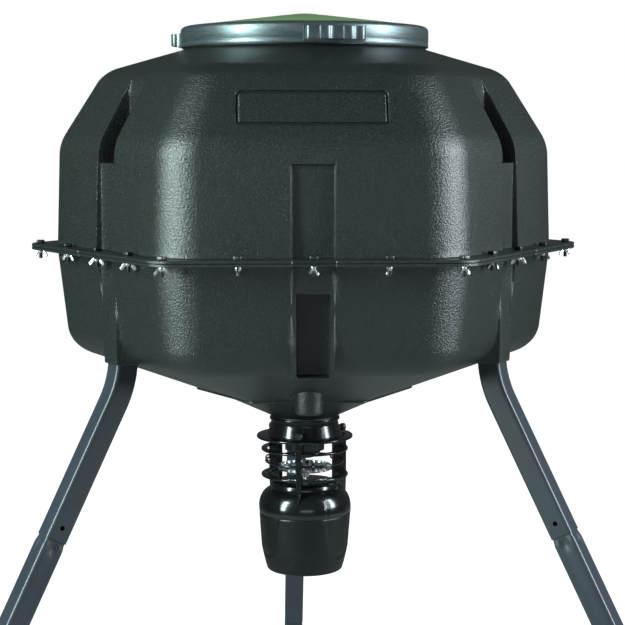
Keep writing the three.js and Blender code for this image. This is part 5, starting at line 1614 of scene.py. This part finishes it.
# ---------------------------------------------------------------- feed funnel
# A moulded drop tube inside the guard. Its flange sits on the deck, and its tip narrows above
# the spinner so that feed falls on the middle of the plate.
FUNNEL_FLANGE = 52
FUNNEL_RADIUS = 34
FUNNEL_WALL = 3
FUNNEL_Z = DECK_TOP_Z + GAP
FUNNEL_TUBE_Z = SPOUT_TOP_Z - 60
FUNNEL_TIP_Z = SPOUT_TOP_Z - 73
FUNNEL_TIP = 17
funnel = turned(softened([
    (FUNNEL_RADIUS - FUNNEL_WALL, FUNNEL_Z + 2.5),
    (FUNNEL_FLANGE, FUNNEL_Z + 2.5),
    (FUNNEL_FLANGE, FUNNEL_Z),
    (FUNNEL_RADIUS, FUNNEL_Z),
    (FUNNEL_RADIUS, FUNNEL_TUBE_Z),
    (FUNNEL_RADIUS - 7, FUNNEL_TUBE_Z - 2),
    (FUNNEL_RADIUS - 7, FUNNEL_TUBE_Z - 5),
    (FUNNEL_TIP, FUNNEL_TIP_Z),
    (FUNNEL_TIP - FUNNEL_WALL, FUNNEL_TIP_Z),
    (FUNNEL_RADIUS - 10, FUNNEL_TUBE_Z - 4),
    (FUNNEL_RADIUS - FUNNEL_WALL, FUNNEL_TUBE_Z + 1),
], 0.8, 3), 120)
made("feed_drop_funnel", funnel, gloss_black, "stand", ["feed_funnel"])

# ---------------------------------------------------------------- spinner
# A galvanised steel dish with a crimped rim and four folded vanes. Its hub is held to the
# motor's shaft by a set screw.
SPINNER_RADIUS = 47
SPINNER_Z = SPOUT_TOP_Z - 94.9
SPINNER_THICK = 1.8
SPINNER_RIM = 7
VANE_HEIGHT = 10
VANES = 4
CRIMPS = 36
HUB_RADIUS = 8

# Hot-dip galvanised sheet: bright cold grey with crystal spangles that catch the light
# differently, and soft white bloom.
galvanised, tree, shader = material(
    "spangled_galvanised_sheet", "#c3c7c9", Roughness=0.3, Metallic=1.0,
)
where = add(tree, "ShaderNodeTexCoord")
spangle = add(tree, "ShaderNodeTexVoronoi", inputs={
    "Vector": where.outputs["Object"], "Scale": 1 / (5 * MM),
})
crystal = add(tree, "ShaderNodeSeparateColor", inputs={0: spangle.outputs["Color"]})
rough = add(tree, "ShaderNodeMapRange", inputs={
    "Value": crystal.outputs[0], "To Min": 0.2, "To Max": 0.42,
})
cold = add(tree, "ShaderNodeMix", {"data_type": "RGBA"}, {
    "Factor": crystal.outputs[1], "A": linear("#aeb3b6"), "B": linear("#d6d8d9"),
})
relief = add(tree, "ShaderNodeBump", inputs={
    "Height": spangle.outputs["Distance"], "Strength": 0.15, "Distance": 0.1 * MM,
})
tree.links.new(rough.outputs["Result"], shader.inputs["Roughness"])
tree.links.new(cold.outputs["Result"], shader.inputs["Base Color"])
tree.links.new(relief.outputs["Normal"], shader.inputs["Normal"])


def rim_crimp(turn, z):
    share = window(z, SPINNER_Z + SPINNER_THICK, SPINNER_Z + 2 * SPINNER_RIM, 1)
    return 0.3 * share * (1 - math.cos(math.radians(turn) * CRIMPS))


dish_x = SPINNER_RADIUS - SPINNER_THICK
dish = round_shell([
    (SHAFT_RADIUS + GAP, SPINNER_Z),
    (SPINNER_RADIUS - 2, SPINNER_Z),
    (SPINNER_RADIUS - 0.6, SPINNER_Z + 0.6),
    (SPINNER_RADIUS, SPINNER_Z + 2),
    (SPINNER_RADIUS, SPINNER_Z + 3),
    (SPINNER_RADIUS, SPINNER_Z + SPINNER_RIM - 0.6),
    (SPINNER_RADIUS - 0.6, SPINNER_Z + SPINNER_RIM),
    (dish_x, SPINNER_Z + SPINNER_RIM),
    (dish_x, SPINNER_Z + 3.4),
    (dish_x - 1.4, SPINNER_Z + SPINNER_THICK),
    (SHAFT_RADIUS + GAP, SPINNER_Z + SPINNER_THICK),
], rim_crimp, 288)
vane_line = softened([
    (HUB_RADIUS, SPINNER_Z + 1), (SPINNER_RADIUS - 2.6, SPINNER_Z + 1),
    (SPINNER_RADIUS - 2.6, SPINNER_Z + SPINNER_RIM), (HUB_RADIUS + 8, SPINNER_Z + VANE_HEIGHT),
    (HUB_RADIUS, SPINNER_Z + VANE_HEIGHT),
], 1.5, 3)
vane = placed(
    raised([(x, z - SPINNER_Z) for x, z in vane_line], -SPINNER_THICK / 2, SPINNER_THICK / 2),
    Matrix.Translation((0, 0, SPINNER_Z)) @ upright,
)
vanes = [placed(vane, heading(360 / VANES * i)) for i in range(VANES)]
made("galvanised_spinner", merged(dish, *vanes), galvanised,
     "spinner", ["spinner_plate"])

# ---------------------------------------------------------------- inside the housing
# The small parts that the housing hides keep their plain shapes: a zinc motor with its steel
# shaft and hub, a sealed lead-acid battery with spade terminals, and the timer.

# Sealed battery case: dark grey ABS with a scuffed, slightly chalky face.
battery_case, tree, shader = material("scuffed_battery_case", "#2b2e33", Roughness=0.5, IOR=1.54)
where = add(tree, "ShaderNodeTexCoord")
scuff = add(tree, "ShaderNodeTexNoise", inputs={
    "Vector": where.outputs["Object"], "Scale": 1 / (12 * MM), "Detail": 5,
})
chalk = add(tree, "ShaderNodeMapRange", inputs={
    "Value": scuff.outputs["Fac"], "From Min": 0.45, "From Max": 0.7,
})
grey = add(tree, "ShaderNodeMix", {"data_type": "RGBA"}, {
    "Factor": chalk.outputs["Result"], "A": linear("#26292d"), "B": linear("#43474c"),
})
relief = add(tree, "ShaderNodeBump", inputs={
    "Height": scuff.outputs["Fac"], "Strength": 0.2, "Distance": 0.2 * MM,
})
tree.links.new(grey.outputs["Result"], shader.inputs["Base Color"])
tree.links.new(relief.outputs["Normal"], shader.inputs["Normal"])

# Timer case: pale warm grey ABS with a fine spark texture.
timer_plastic, tree, shader = material("pale_grey_timer_abs", "#8b8f8c", Roughness=0.45, IOR=1.54)
where = add(tree, "ShaderNodeTexCoord")
grain = add(tree, "ShaderNodeTexNoise", inputs={
    "Vector": where.outputs["Object"], "Scale": 1 / (0.7 * MM), "Detail": 2,
})
shade = add(tree, "ShaderNodeMix", {"data_type": "RGBA"}, {
    "Factor": grain.outputs["Fac"], "A": linear("#828683"), "B": linear("#959995"),
})
relief = add(tree, "ShaderNodeBump", inputs={
    "Height": grain.outputs["Fac"], "Strength": 0.3, "Distance": 0.08 * MM,
})
tree.links.new(shade.outputs["Result"], shader.inputs["Base Color"])
tree.links.new(relief.outputs["Normal"], shader.inputs["Normal"])

# Display window: smoked acrylic over a liquid crystal, grey-green and glossy with faint
# ruled segments behind it.
lcd, tree, shader = material("smoked_display_window", "#6f7c68", Roughness=0.08, IOR=1.49)
where = add(tree, "ShaderNodeTexCoord")
rows = add(tree, "ShaderNodeTexWave", {"wave_type": "BANDS", "bands_direction": "X"}, {
    "Vector": where.outputs["Object"], "Scale": 0.32 / (6 * MM), "Distortion": 0.0,
})
segment = add(tree, "ShaderNodeMix", {"data_type": "RGBA"}, {
    "Factor": rows.outputs["Fac"], "A": linear("#66735f"), "B": linear("#78856f"),
})
tree.links.new(segment.outputs["Result"], shader.inputs["Base Color"])

# Buttons: soft silicone rubber in a dull red, slightly mottled.
button_rubber, tree, shader = material("red_silicone_rubber", "#8e2f26", Roughness=0.6, IOR=1.42)
where = add(tree, "ShaderNodeTexCoord")
worn = add(tree, "ShaderNodeTexNoise", inputs={
    "Vector": where.outputs["Object"], "Scale": 1 / (3 * MM), "Detail": 3,
})
red = add(tree, "ShaderNodeMix", {"data_type": "RGBA"}, {
    "Factor": worn.outputs["Fac"], "A": linear("#7c2820"), "B": linear("#9b3a30"),
})
tree.links.new(red.outputs["Result"], shader.inputs["Base Color"])

carried = {
    "spinner_hub": zinc,
    "hub_set_screw": bright_steel,
    "motor_shaft": bright_steel,
    "motor": zinc,
    "battery": battery_case,
    "battery_terminal_1": bright_steel,
    "battery_terminal_2": bright_steel,
    "timer_case": timer_plastic,
    "timer_lens": lcd,
    "timer_button_1": button_rubber,
    "timer_button_2": button_rubber,
    "timer_button_3": button_rubber,
}
for node, finish in carried.items():
    thing = next(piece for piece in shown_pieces() if piece.get("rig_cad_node") == node)
    thing.data.materials.clear()
    thing.data.materials.append(finish)
